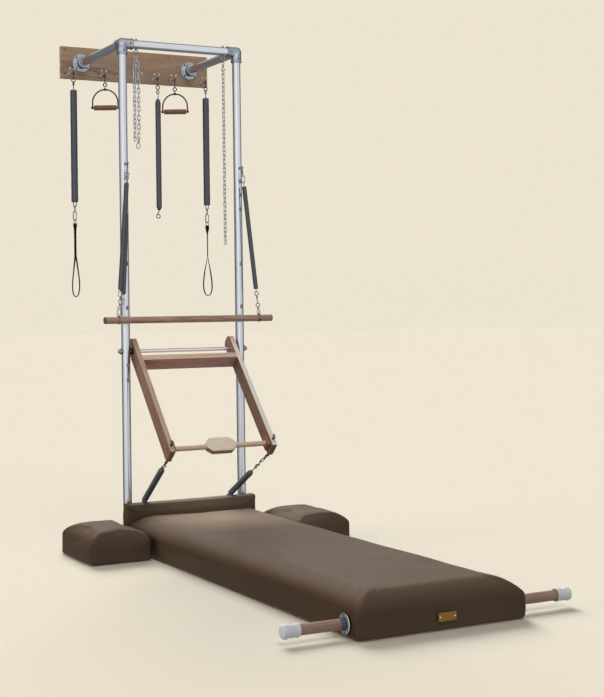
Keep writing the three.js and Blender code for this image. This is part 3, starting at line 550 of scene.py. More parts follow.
    def prism(self, outline, axis, lo, hi, mat, bevel=0.0, matrix=None, holes=None):
        """outline of (u, v) pushed along axis from lo to hi, its rims bevelled; u, v are the other two axes"""
        o = np.array(outline, float)
        if area2(o) < 0:
            o = o[::-1]
        layers = []
        if bevel > 0:
            inner = inset(o, bevel)
            mid = inset(o, bevel * 0.3)
            layers = [(inner, lo), (mid, lo + bevel * 0.3), (o, lo + bevel), (o, hi - bevel), (mid, hi - bevel * 0.3), (inner, hi)]
        else:
            layers = [(o, lo), (o, hi)]
        n = len(o)
        v = []
        for ring_, h in layers:
            for u, w in ring_:
                v.append({0: (h, u, w), 1: (u, h, w), 2: (u, w, h)}[axis])
        flip = axis == 1
        f = []
        for k in range(len(layers) - 1):
            for i in range(n):
                j = (i + 1) % n
                q = (k * n + i, k * n + j, (k + 1) * n + j, (k + 1) * n + i)
                f.append(q[::-1] if flip else q)
        a = tuple(range(n))
        b = tuple((len(layers) - 1) * n + i for i in range(n))
        f.append(a if flip else a[::-1])
        f.append(b[::-1] if flip else b)
        v = np.array(v, float)
        if matrix is not None:
            v = v @ matrix[0].T + matrix[1]
        return self.add(v, f, mat)

    def build(self, name, body=None, smooth=40.0, replaces=()):
        me = bpy.data.meshes.new(name)
        v = P(np.concatenate(self.v))
        me.from_pydata([tuple(x) for x in v], [], self.f)
        me.polygons.foreach_set("material_index", self.m)
        for mt in self.mats:
            me.materials.append(mt)
        me.update()
        obj = bpy.data.objects.new(name, me)
        bpy.context.scene.collection.objects.link(obj)
        shade(obj, smooth)
        if body:
            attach(obj, body)
        if replaces:
            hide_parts(*replaces)
        return obj


def shade(obj, angle):
    me = obj.data
    bm = bmesh.new()
    bm.from_mesh(me)
    bmesh.ops.recalc_face_normals(bm, faces=bm.faces)
    for face in bm.faces:
        face.smooth = True
    lim = math.radians(angle)
    for e in bm.edges:
        e.smooth = not (len(e.link_faces) == 2 and e.calc_face_angle(0) > lim)
    bm.to_mesh(me)
    bm.free()


def area2(o):
    x, y = o[:, 0], o[:, 1]
    return float(np.sum(x * np.roll(y, -1) - np.roll(x, -1) * y))


def inset(o, d):
    """outline drawn in by d; anticlockwise outlines only"""
    prev, nxt = np.roll(o, 1, 0), np.roll(o, -1, 0)
    a = o - prev
    b = nxt - o
    a /= np.maximum(np.linalg.norm(a, axis=1), 1e-9)[:, None]
    b /= np.maximum(np.linalg.norm(b, axis=1), 1e-9)[:, None]
    na = np.stack([-a[:, 1], a[:, 0]], 1)
    nb = np.stack([-b[:, 1], b[:, 0]], 1)
    m = na + nb
    m /= np.maximum(np.linalg.norm(m, axis=1), 1e-9)[:, None]
    c = np.maximum(np.sum(m * na, 1), 0.35)
    return o + m * (d / c)[:, None]


def spline(p, per, closed=False):
    """Catmull-Rom through the points, per steps between each two"""
    p = np.array(p, float)
    n = len(p)
    out = []
    rng = range(n) if closed else range(n - 1)
    for i in rng:
        if closed:
            a, b, c, d = p[(i - 1) % n], p[i], p[(i + 1) % n], p[(i + 2) % n]
        else:
            a, b, c, d = p[max(i - 1, 0)], p[i], p[i + 1], p[min(i + 2, n - 1)]
            if i == 0:
                a = 2 * b - c
            if i == n - 2:
                d = 2 * c - b
        for k in range(per):
            t = k / per
            out.append(0.5 * ((2 * b) + (-a + c) * t + (2 * a - 5 * b + 4 * c - d) * t * t + (-a + 3 * b - 3 * c + d) * t ** 3))
    if not closed:
        out.append(p[-1])
    return np.array(out)


def round_rect(u0, u1, v0, v1, r, n=6):
    """anticlockwise outline with round corners; r is one radius or four, from the low-u low-v corner anticlockwise"""
    rs = (r,) * 4 if np.isscalar(r) else r
    out = []
    for (cu, cv, a0), rad in zip([(u0, v0, math.pi), (u1, v0, 1.5 * math.pi), (u1, v1, 0), (u0, v1, 0.5 * math.pi)], rs):
        su, sv = (1 if cu == u0 else -1), (1 if cv == v0 else -1)
        for i in range(n + 1):
            t = a0 + 0.5 * math.pi * i / n
            out.append((cu + su * rad + rad * math.cos(t), cv + sv * rad + rad * math.sin(t)))
    return out


def place(matrix, M, sub):
    """adds mesh sub to M, moved by matrix = (3x3, offset)"""
    base = sum(len(a) for a in M.v)
    for a in sub.v:
        M.v.append(a @ matrix[0].T + matrix[1])
    idx = [M.slot(x) for x in sub.mats]
    for q, k in zip(sub.f, sub.m):
        M.f.append(tuple(i + base for i in q))
        M.m.append(idx[k])


def toward(a, b, side=(1, 0, 0)):
    """frame with z from a to b and x near side; returns (3x3 with the axes as columns, a)"""
    a, b = np.array(a, float), np.array(b, float)
    z = (b - a) / np.linalg.norm(b - a)
    x = np.array(side, float)
    x -= z * (x @ z)
    x /= np.linalg.norm(x)
    return np.stack([x, np.cross(z, x), z], 1), a


def snap(mat, length=62.0, gauge=2.0, turned_eye=True):
    """swivel snap hook along +z from 0 (top of its eye) to length (bottom of its bow), drawn in x-z"""
    M = Mesh()
    e = 7.4
    side = (0, 1, 0) if turned_eye else (1, 0, 0)
    if turned_eye:
        M.ring((0, 0, e), e - gauge, gauge, mat, "yz", 22, 8)
    else:
        M.ring((0, 0, e), e - gauge, gauge, mat, "xz", 22, 8)
    z0 = 2 * e - 1.2
    M.lathe((0, 0, z0), (0, 0, 1000), [(0, -1), (2.4, -1), (3.6, 1), (4.4, 3.2), (4.4, 6), (3.2, 7.6), (2.6, 9), (4.0, 10.4), (4.0, 13), (2.6, 14.2), (0, 14.2)], mat, 18)
    z1 = z0 + 13.0
    w = 7.6
    # bow of the hook, round the end and back up
    pts = [(0.0, 0, z1), (-w * 0.55, 0, z1 + 3), (-w * 0.96, 0, z1 + 9), (-w, 0, z1 + 17), (-w * 0.98, 0, length - w), (-w * 0.7, 0, length - w * 0.42),
           (0, 0, length - gauge), (w * 0.7, 0, length - w * 0.42), (w * 0.98, 0, length - w), (w, 0, length - w - 5)]
    M.sweep(pts, [gauge * 1.1, gauge * 1.25, gauge * 1.25, gauge * 1.15, gauge * 1.1, gauge * 1.05, gauge, gauge, gauge * 0.95, gauge * 0.7], mat, 9, smooth=5)
    # gate with its thumb piece
    M.sweep([(1.2, 0, z1 + 0.5), (w * 0.55, 0, z1 + 3.5), (w * 0.9, 0, z1 + 9), (w * 0.92, 0, length - w - 5.4)], [gauge * 0.95, gauge * 0.95, gauge * 0.8, gauge * 0.7], mat, 8, smooth=4)
    M.lathe((w * 0.8, 0, z1 + 11), (w * 0.8 + 10, 0, z1 + 10), [(0, 0), (1.3, 0), (1.5, 2.5), (2.3, 4.2), (1.9, 5.4), (0, 5.8)], mat, 12)
    return M


def screw_head(M, c, d, r, mat, slot_mat=None):
    """domed head with a round sunk centre, facing along d"""
    c, d = np.array(c, float), np.array(d, float)
    M.lathe(c - d * 0.4, c + d, [(0, 0), (r, 0), (r, 0.6), (r * 0.86, 1.2), (r * 0.55, 1.65), (r * 0.42, 1.7), (r * 0.3, 1.1), (0, 0.9)], mat, 20)


def hex_nut(M, a, b, r, h, mat, dome=0.0):
    prof = [(0, 0), (r * 0.93, 0), (r, 0.6), (r, h - 0.6), (r * 0.93, h), (0, h)]
    M.lathe(a, b, prof, mat, 6)
    if dome:
        a, b = np.array(a, float), np.array(b, float)
        d = (b - a) / np.linalg.norm(b - a)
        M.lathe(a + d * h, b + d * 100, [(r * 0.72, -0.2), (r * 0.7, dome * 0.4), (r * 0.5, dome * 0.8), (0, dome)], mat, 20)


def hollow_tube(M, a, b, mat, ro=19.0, ri=15.8, seg=48):
    L = float(np.linalg.norm(np.array(b, float) - np.array(a, float)))
    M.lathe(a, b, [(ri, 0), (ro - 0.5, 0), (ro, 0.5), (ro, L / 2), (ro, L - 0.5), (ro - 0.5, L), (ri, L)], mat, seg, closed=True)


# ------------------------------------------------------------------ wall board
def wall_board():
    M = Mesh()
    y0, y1 = BOARD_Y, BOARD_Y + 25
    M.prism(round_rect(-375, 375, 2118, 2269, 2.5, 4), 1, y0, y1, MAT["board"], 1.8)
    obj = M.build("wall_board_timber", ROOT, 35, ["wall_board"])
    S = Mesh()
    for x in (-358, -168, 168, 358):
        for z in (2139.5, 2252):
            S.lathe((x, BOARD_Y + 0.5, z), (x, BOARD_Y - 10, z), [(0, -3), (4.6, -3), (4.6, 0.3), (4.0, 0.7), (1.2, 0.75), (0, 0.2)], MAT["screw"], 18)
    S.build("wall_board_screws", ROOT, 40, ())
    return obj


wall_board()


def flange(name, a, b, cad):
    a, b = np.array(a, float), np.array(b, float)
    d = (b - a) / np.linalg.norm(b - a)
    M = Mesh()
    M.lathe(a, b, [(0, 0), (43.4, 0), (44, 0.8), (44, 4.2), (43, 5.4), (41, 6.2), (34, 6.9), (30.5, 7.6), (27.4, 9.2), (25.2, 12), (24.1, 15), (24, 30),
                   (24.3, 30.6), (25.4, 31.4), (25.6, 33.6), (25.2, 35.4), (24.2, 36), (19.7, 36), (19.7, 6.3), (0, 6.3)], MAT["fitting"], 56)
    side = np.array([0, 1.0, 0]) if abs(d[2]) > 0.5 else np.array([0, 0, 1.0])
    other = np.cross(d, side)
    for deg in (45, 135, 225, 315):
        t = math.radians(deg)
        o = a + side * 35 * math.cos(t) + other * 35 * math.sin(t)
        screw_head(M, o + d * 6.6, d, 4.6, MAT["screw"])
    # set screw in the collar
    s = a + d * 24 + (np.array([0, -1.0, 0]) if abs(d[2]) > 0.5 else np.array([0.0, 0, -1.0])) * 23.6
    M.lathe(s, s + (np.array([0, -1.0, 0]) if abs(d[2]) > 0.5 else np.array([0.0, 0, -1.0])), [(3.6, -1), (3.6, 0.6), (3.0, 0.9), (1.7, 0.9), (1.7, -0.6), (0, -0.6)], MAT["screw"], 16)
    return M.build(name, ROOT, 38, [cad])


for side, s in (("left", -1), ("right", 1)):
    flange(f"wall_flange_{side}_casting", (s * HALF, BOARD_Y - 0.3, TOP_Z), (s * HALF, 0, TOP_Z), f"wall_flange_{side}")
    flange(f"floor_flange_{side}_casting", (s * HALF, 0, 0), (s * HALF, 0, 100), f"floor_flange_{side}")


# ------------------------------------------------------------------ tubes
def tubes():
    for side, s in (("left", -1), ("right", 1)):
        M = Mesh()
        hollow_tube(M, (s * HALF, 0, 6.6), (s * HALF, 0, TOP_Z - 20.3), MAT["tube"])
        M.build(f"upright_{side}_tube", ROOT, 40, [f"upright_{side}"])
        M = Mesh()
        hollow_tube(M, (s * HALF, 20.3, TOP_Z), (s * HALF, BOARD_Y - 7.2, TOP_Z), MAT["tube_y"])
        M.build(f"rear_pipe_{side}_tube", ROOT, 40, [f"rear_pipe_{side}"])
    M = Mesh()
    hollow_tube(M, (-HALF + 20.3, 0, TOP_Z), (HALF - 20.3, 0, TOP_Z), MAT["tube_x"])
    M.build("crossbar_tube", ROOT, 40, ["crossbar"])


tubes()


def carve(obj, cutters):
    """cuts the cutters' shapes out of obj and removes them"""
    for c in cutters:
        mod = obj.modifiers.new("cut", "BOOLEAN")
        mod.operation = "DIFFERENCE"
        mod.solver = "EXACT"
        mod.object = c
        bpy.context.view_layer.objects.active = obj
        bpy.ops.object.modifier_apply(modifier=mod.name)
    for c in cutters:
        bpy.data.objects.remove(c)


def merge_bodies(parts, name):
    """one closed body out of several crossing ones"""
    base = parts[0]
    for p in parts[1:]:
        mod = base.modifiers.new("join", "BOOLEAN")
        mod.operation = "UNION"
        mod.solver = "EXACT"
        mod.object = p
        bpy.context.view_layer.objects.active = base
        bpy.ops.object.modifier_apply(modifier=mod.name)
    for p in parts[1:]:
        bpy.data.objects.remove(p)
    base.name = name
    return base


def corner_fitting(side, s):
    c = np.array([s * HALF, 0, TOP_Z])
    ways = [np.array([-s, 0, 0.0]), np.array([0, 1.0, 0]), np.array([0, 0, -1.0])]
    parts = []
    M = Mesh()
    M.ball(c, 24.5, MAT["fitting"], 40, 20)
    parts.append(M.build("fit_ball", None))
    for k, w in enumerate(ways):
        M = Mesh()
        M.lathe(c, c + w, [(0, 0), (23.4, 0), (23.4, 37.5), (24.2, 38.6), (25.1, 40.0), (25.2, 45.6), (24.6, 47.2), (23.6, 47.6), (0, 47.6)], MAT["fitting"], 44)
        parts.append(M.build(f"fit_way{k}", None))
    body = merge_bodies(parts, f"corner_fitting_{side}_casting")
    cutters = []
    for k, w in enumerate(ways):
        M = Mesh()
        M.lathe(c + w * 19.8, c + w * 60, [(0, 0), (19.5, 0), (19.5, 40), (0, 40)], MAT["fitting"], 48)
        cutters.append(M.build(f"fit_bore{k}", None))
    carve(body, cutters)
    mod = body.modifiers.new("bevel", "BEVEL")
    mod.width = 0.0016
    mod.segments = 2
    mod.limit_method = "ANGLE"
    mod.angle_limit = math.radians(28)
    mod.harden_normals = False
    bpy.context.view_layer.objects.active = body
    bpy.ops.object.modifier_apply(modifier=mod.name)
    shade(body, 34)
    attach(body, ROOT)
    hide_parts(f"corner_fitting_{side}")
    # socket set screws on the side that faces the room
    S = Mesh()
    for w, out in ((ways[0], (0, -1, 0)), (ways[2], (0, -1, 0)), (ways[1], (0, 0, -1))):
        o = c + w * 31 + np.array(out, float) * 23.2
        d = np.array(out, float)
        S.lathe(o, o + d, [(4.3, -1.5), (4.3, 0.5), (3.8, 0.9), (2.2, 0.9), (2.0, -1.2), (0, -1.2)], MAT["screw"], 20)
    S.build(f"corner_fitting_{side}_set_screws", ROOT, 38, ())


for side, s in (("left", -1), ("right", 1)):
    corner_fitting(side, s)
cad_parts["lower_crossbar"].data.materials.clear()
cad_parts["lower_crossbar"].data.materials.append(MAT["tube_x"])


# ------------------------------------------------------------------ eyes on the uprights
def upright_eye(M, s, z, reach=EYE_Y, R=7.6, r=2.3, turn=0.0, nut=True):
    """eye bolt through the upright, ring to the front"""
    m = MAT["chrome"]
    M.lathe((s * HALF, 31, z), (s * HALF, reach + R - 0.6, z), [(0, 0), (2.4, 0), (3, 0.8), (3, abs(31 - reach - R) - 2), (2.6, abs(31 - reach - R) + 0.4)], m, 16)
    M.lathe((s * HALF, -19.2, z), (s * HALF, -40, z), [(0, 0), (5.8, 0), (6.2, 0.5), (5.6, 1.4), (3.6, 2.4), (3.1, 3.4), (0, 3.4)], m, 18)
    if nut:
        M.lathe((s * HALF, 19.3, z), (s * HALF, 60, z), [(0, 0), (8, 0), (8, 1.2), (0, 1.2)], m, 24)
        hex_nut(M, (s * HALF, 20.5, z), (s * HALF, 60, z), 5.8, 4.6, m, 3.2)
    t = np.arange(26) * 2 * math.pi / 26
    c, sn = math.cos(turn), math.sin(turn)
    pts = np.stack([R * np.cos(t) * c, R * np.sin(t), R * np.cos(t) * sn], 1) + np.array([s * HALF, reach, z])
    M.sweep(pts, r, m, 10, True)


for side, s in (("left", -1), ("right", 1)):
    M = Mesh()
    upright_eye(M, s, EYE_Z)
    M.build(f"upright_eye_{side}_bolt", ROOT, 40, [f"upright_eye_{side}"])
    M = Mesh()
    for z in (1604, 1541, 1478, 1228, 1035, 784, 720):
        upright_eye(M, s, z, -28.5, 7.4, 2.3, math.radians(90))
    M.build(f"spare_eyes_{side}", ROOT, 40, ())


# ------------------------------------------------------------------ push-through frame
def frame_matrix():
    c, s = math.cos(TILT), math.sin(TILT)
    # (x, y, z) of the frame's own axes to the tower's
    return np.array([[1, 0, 0], [0, c, s], [0, -s, c]]), np.array([0, 0, AXLE_Z])


FM = frame_matrix()
PUSH = "push_through_frame"


def frame_object(name, M, replaces=(), angle=38):
    """a wooden piece of the frame: built in the frame's own axes, so that its grain runs along it"""
    me = bpy.data.meshes.new(name)
    v = np.concatenate(M.v) / 1000.0
    me.from_pydata([tuple(x) for x in v], [], M.f)
    me.polygons.foreach_set("material_index", M.m)
    for mt in M.mats:
        me.materials.append(mt)
    me.update()
    obj = bpy.data.objects.new(name, me)
    bpy.context.scene.collection.objects.link(obj)
    shade(obj, angle)
    m = Matrix([list(r) for r in FM[0]]).to_4x4()
    m.translation = Vector(P(FM[1]))
    obj.matrix_world = m
    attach(obj, PUSH)
    if replaces:
        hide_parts(*replaces)
    return obj


def push_frame():
    for side, s in (("left", -1), ("right", 1)):
        x0, x1 = sorted((s * ARM_OUT, s * ARM_IN))
        M = Mesh()
        # the plank in the darker SIDE beech: painted shade on its sides
        M.prism(round_rect(-ARM_D / 2, ARM_D / 2, -ARM_LEN, ARM_TOP, (3, 3, 26, 26), 8), 0, x0, x1, MAT["beech_z"], 1.6)
        if side == "right":
            # this arm's front edge is painted near white: painted highlight
            v_, pale = np.concatenate(M.v), M.slot(MAT["pale_z"])
            for k_, q in enumerate(M.f):
                if len(q) == 4 and np.max(v_[list(q)][:, 1]) < -ARM_D / 2 + 0.6:
                    M.m[k_] = pale
        else:
            # front edge in a lighter copy of the beech than the sides: painted light
            v_, soft_ = np.concatenate(M.v), M.slot(MAT["soft_z"])
            for k_, q in enumerate(M.f):
                if len(q) == 4 and np.max(v_[list(q)][:, 1]) < -ARM_D / 2 + 0.6:
                    M.m[k_] = soft_
        frame_object(f"ptb_arm_{side}_plank", M, [f"ptb_arm_{side}"])
        M = Mesh()
        b0, b1 = sorted((s * (ARM_IN - 0.05), s * (ARM_IN - 12)))
        M.prism(round_rect(-24, 24, -(BAR_S + 24), -(BAR_S - 24), 5, 5), 0, b0, b1, MAT["beech_z"], 1.2)
        frame_object(f"ptb_arm_{side}_block", M)
        # screw ends of the dowel's fixing, outside
        S = Mesh()
        o = np.array([s * ARM_OUT, 0, -BAR_S])
        S.lathe(o - np.array([s * 0.6, 0, 0]), o + np.array([s * 1.0, 0, 0]), [(0, 0), (4.4, 0), (4.4, 1.0), (3.6, 1.7), (1.2, 1.8), (0, 1.2)], MAT["screw"], 18)
        for z in (-61.5, -77.5):
            for y in (-20, 20):
                o = np.array([s * ARM_OUT, y, z])
                S.lathe(o - np.array([s * 0.6, 0, 0]), o + np.array([s * 1.0, 0, 0]), [(0, 0), (3.6, 0), (3.6, 0.9), (2.8, 1.4), (0, 1.1)], MAT["screw"], 16)
        frame_object(f"ptb_arm_{side}_screws", S, ())
        # plastic bush between arm and upright, washer inside
        B = Mesh()
        B.lathe((s * (ARM_OUT + 0.1), 0, 0), (s * 300, 0, 0), [(8.3, 0), (13.6, 0), (14, 0.6), (14, 9.2), (13.4, 9.8), (8.3, 9.8)], MAT["black"], 28, True)
        B.lathe((s * (ARM_IN - 0.1), 0, 0), (0, 0, 0), [(8.3, 0), (12.4, 0), (12.6, 0.5), (12.2, 1.6), (8.3, 1.6)], MAT["chrome"], 28, True)
        frame_object(f"ptb_bush_{side}", B, ())
        # eye behind the arm's end, and one in its front face
        E = Mesh()
        x, y, z = s * PTB_EYE[0], PTB_EYE[1], PTB_EYE[2]
        E.sweep([(x, ARM_D / 2 - 20, z), (x, y - 7.4, z)], 2.6, MAT["chrome"], 12)
        E.lathe((x, ARM_D / 2 - 0.1, z), (x, 100, z), [(0, 0), (5.4, 0), (5.6, 0.6), (4.6, 1.3), (2.7, 2.2), (0, 2.2)], MAT["chrome"], 18)
        E.ring((x, y, z), 7.8, 2.2, MAT["chrome"], "yz", 26, 10)
        frame_object(f"ptb_eye_{side}_screw", E, [f"ptb_eye_{side}"])
        E = Mesh()
        z = -552.0
        E.sweep([(x, -ARM_D / 2 + 16, z), (x, -ARM_D / 2 - 8.2, z)], 2.6, MAT["dark_wire"], 12)
        E.lathe((x, -ARM_D / 2 + 0.1, z), (x, -100, z), [(0, 0), (5.2, 0), (5.4, 0.6), (4.4, 1.3), (2.5, 2.2), (0, 2.2)], MAT["dark_wire"], 18)
        E.ring((x, -ARM_D / 2 - 16.0, z), 8.8, 2.4, MAT["dark_wire"], "yz", 26, 10)
        frame_object(f"ptb_front_eye_{side}", E, ())
    M = Mesh()
    M.prism(round_rect(-ARM_D / 2 + 1, ARM_D / 2 - 1, -81, -53, 2, 4), 0, -ARM_IN + 0.05, ARM_IN - 0.05, MAT["ruddy_x"], 0.3)
    # the board's front face in the lighter SOFT beech: painted light
    v_, soft_ = np.concatenate(M.v), M.slot(MAT["soft_x"])
    for k_, q in enumerate(M.f):
        if len(q) == 4 and np.max(v_[list(q)][:, 1]) < -ARM_D / 2 + 1.6:
            M.m[k_] = soft_
    frame_object("ptb_cross_board_plank", M, ["ptb_cross_board"])
    M = Mesh()
    M.lathe((-(ARM_IN - 11.9), 0, -BAR_S), (ARM_IN - 11.9, 0, -BAR_S), [(0, 0), (11, 0), (11, 2 * (ARM_IN - 11.9)), (0, 2 * (ARM_IN - 11.9))], MAT["soft_x"], 36)
    frame_object("ptb_dowel_rod", M, ["ptb_dowel"])
    w, h, k, c0, z = 69.0, 35.0, 23.0, 2.0, -(BAR_S - 3)
    o = [(c0 - w + k, z - h), (c0 + w - k, z - h), (c0 + w, z - h + k), (c0 + w, z + h - k), (c0 + w - k, z + h), (c0 - w + k, z + h), (c0 - w, z + h - k), (c0 - w, z - h + k)]
    soft = []
    for i in range(8):
        a, b, c = np.array(o[i - 1]), np.array(o[i]), np.array(o[(i + 1) % 8])
        p, q = b + (a - b) / np.linalg.norm(a - b) * 6, b + (c - b) / np.linalg.norm(c - b) * 6
        for t in (0, 0.25, 0.5, 0.75, 1.0):
            soft.append(tuple((1 - t) ** 2 * p + 2 * t * (1 - t) * b + t * t * q))
    M = Mesh()
    # paddle in the pale beech: painted highlight
    M.prism(soft, 1, -13, 13, MAT["pale_x"], 2.2)
    # its underside faces take the darker beech: painted shade
    v_, low_ = np.concatenate(M.v), M.slot(MAT["dull_x"])
    for k_, q in enumerate(M.f):
        if len(q) == 4 and np.max(v_[list(q)][:, 2]) < z - h + k + 1 and np.ptp(v_[list(q)][:, 1]) > 10:
            M.m[k_] = low_
    frame_object("ptb_paddle_block", M, ["ptb_paddle"])
    # axle with domed nuts outside the uprights
    A = Mesh()
    A.lathe((-297, 0, 0), (297, 0, 0), [(0, 0), (8, 0), (8, 594), (0, 594)], MAT["tube_x"], 32)
    for s in (-1, 1):
        A.lathe((s * 295.4, 0, 0), (s * 400, 0, 0), [(0, 0), (13.4, 0), (13.6, 0.5), (13.4, 1.8), (0, 1.8)], MAT["chrome"], 30)
        hex_nut(A, (s * 297.2, 0, 0), (s * 400, 0, 0), 11.8, 7.2, MAT["chrome"], 7.6)
    frame_object("ptb_axle_rod", A, ["ptb_axle"])


push_frame()


# ------------------------------------------------------------------ covered springs
def sleeve_profile(length, r, rib=0.0, pitch=6.0, neck=0.68, taper=7.0, step=1.5):
    """profile of a cover drawn in at both ends; ribs where the coil shows through it"""
    n = max(int(length / step), 12)
    prof = [(0.0, 0.0), (r * neck * 0.9, 0.0)]
    for i in range(n + 1):
        s = length * i / n
        e = min(s, length - s)
        if e < taper:
            t = e / taper
            k = neck + (1 - neck) * math.sin(t * math.pi / 2)
        else:
            k = 1.0
        bead = rib * math.sin(2 * math.pi * s / pitch) * min(1.0, e / taper)
        prof.append((r * k + bead, s))
    prof += [(r * neck * 0.9, length), (0.0, length)]
    return prof


def add_sleeve(M, a, b, r, rib=0.14, pitch=6.0, neck=0.68, taper=7.0, seg=24, step=1.5, wobble=0.0, seed=0.0, mat=None):
    a, b = np.array(a, float), np.array(b, float)
    L = float(np.linalg.norm(b - a))
    before = len(M.v)
    M.lathe(a, b, sleeve_profile(L, r, rib, pitch, neck, taper, step), mat or MAT["sleeve"], seg)
    v = M.v[before]
    d = (b - a) / L
    s = (v - a) @ d
    # slack of the cover: slow swellings along it
    k = 1 + 0.018 * np.array([noise.noise(Vector((x * 0.03 + seed, seed, 0))) for x in s])
    axis = a + s[:, None] * d
    M.v[before] = axis + (v - axis) * k[:, None]
    return M


def wire_hook(M, a, b, r, mat, turns=1.5):
    M.sweep([a, b], r, mat, 8)


def push_springs():
    for side, s in (("left", -1), ("right", 1)):
        mid = on_frame(s * PTB_EYE[0], PTB_EYE[1], PTB_EYE[2])
        k = np.array([s * ANCHOR_X, -1.5, ANCHOR_Z + 1])
        d = (k - mid) / np.linalg.norm(k - mid)
        e = mid + d * 2.6
        L = float(np.linalg.norm(k - e))
        R3, _ = toward(e, k, (1, 0, 0))
        # lower loop, neck wire, sleeve and upper neck wire: the part that stretches
        start = 70.0 if side == "left" else 162.0
        stop = L - 18
        M = Mesh()
        sub = Mesh()
        sub.ring((0, 0, 0), 5.8, 2.0, MAT["dark_wire"], "xz", 22, 8)
        place((R3, k - d * 6.2), M, sub)
        M.sweep([e + d * (L - 12), e + d * (stop - 3)], [2.0, 2.0], MAT["dark_wire"], 8)
        # cover in the lighter sleeve copy: painted light
        add_sleeve(M, e + d * start, e + d * stop, 13.0, 0.25, 5.0, 0.45, 16.0, 26, 1.4, 0, 3.1 * s, MAT["sleeve_low"])
        if side == "right":
            M.sweep([e + d * 80.6, e + d * 93.0], [2.0, 2.0], MAT["dark_wire"], 8)
            link = Mesh()
            link.ring((0, 0, 0), 7.6, 2.2, MAT["dark_wire"], "xz", 24, 8)
            link.ring((0, 0, 14.6), 6.4, 2.1, MAT["dark_wire"], "yz", 24, 8)
            link.lathe((0, 0, 21), (0, 0, 100), [(0, 0), (2.6, 0), (4.4, 2), (5.0, 6), (4.2, 10), (2.8, 12), (0, 13)], MAT["bright"], 18)
            place((R3, e + d * 100.2), M, link)
            M.sweep([e + d * 131.0, e + d * (start + 4)], [2.2, 2.2], MAT["dark_wire"], 8)
        else:
            M.sweep([e + d * 62.6, e + d * (start + 5)], [2.4, 2.4], MAT["dark_wire"], 8)
        obj = M.build(f"push_spring_{side}_cover", None, 40)
        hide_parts(f"ptb_spring_{side}")
        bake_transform(obj)
        # snap on the eye
        S = Mesh()
        sub = Mesh()
        sub.ring((0, 0, 0), 5.8, 2.0, MAT["dark_wire"], "xz", 22, 8)
        place((R3, e + d * 6.2), S, sub)
        if side == "left":
            place((R3, e + d * 9.4), S, snap(MAT["dark_wire"], 52.8, 2.1))
        else:
            sn = snap(MAT["dark_wire"], 60.0, 1.9)
            place((R3, e + d * 9.4), S, sn)
            S.sweep([e + d * 66, e + d * 80.2], 2.2, MAT["dark_wire"], 8)
        S.build(f"push_snap_{side}_hook", f"push_snap_{side}", 40, [f"ptb_snap_{side}"])


push_springs()


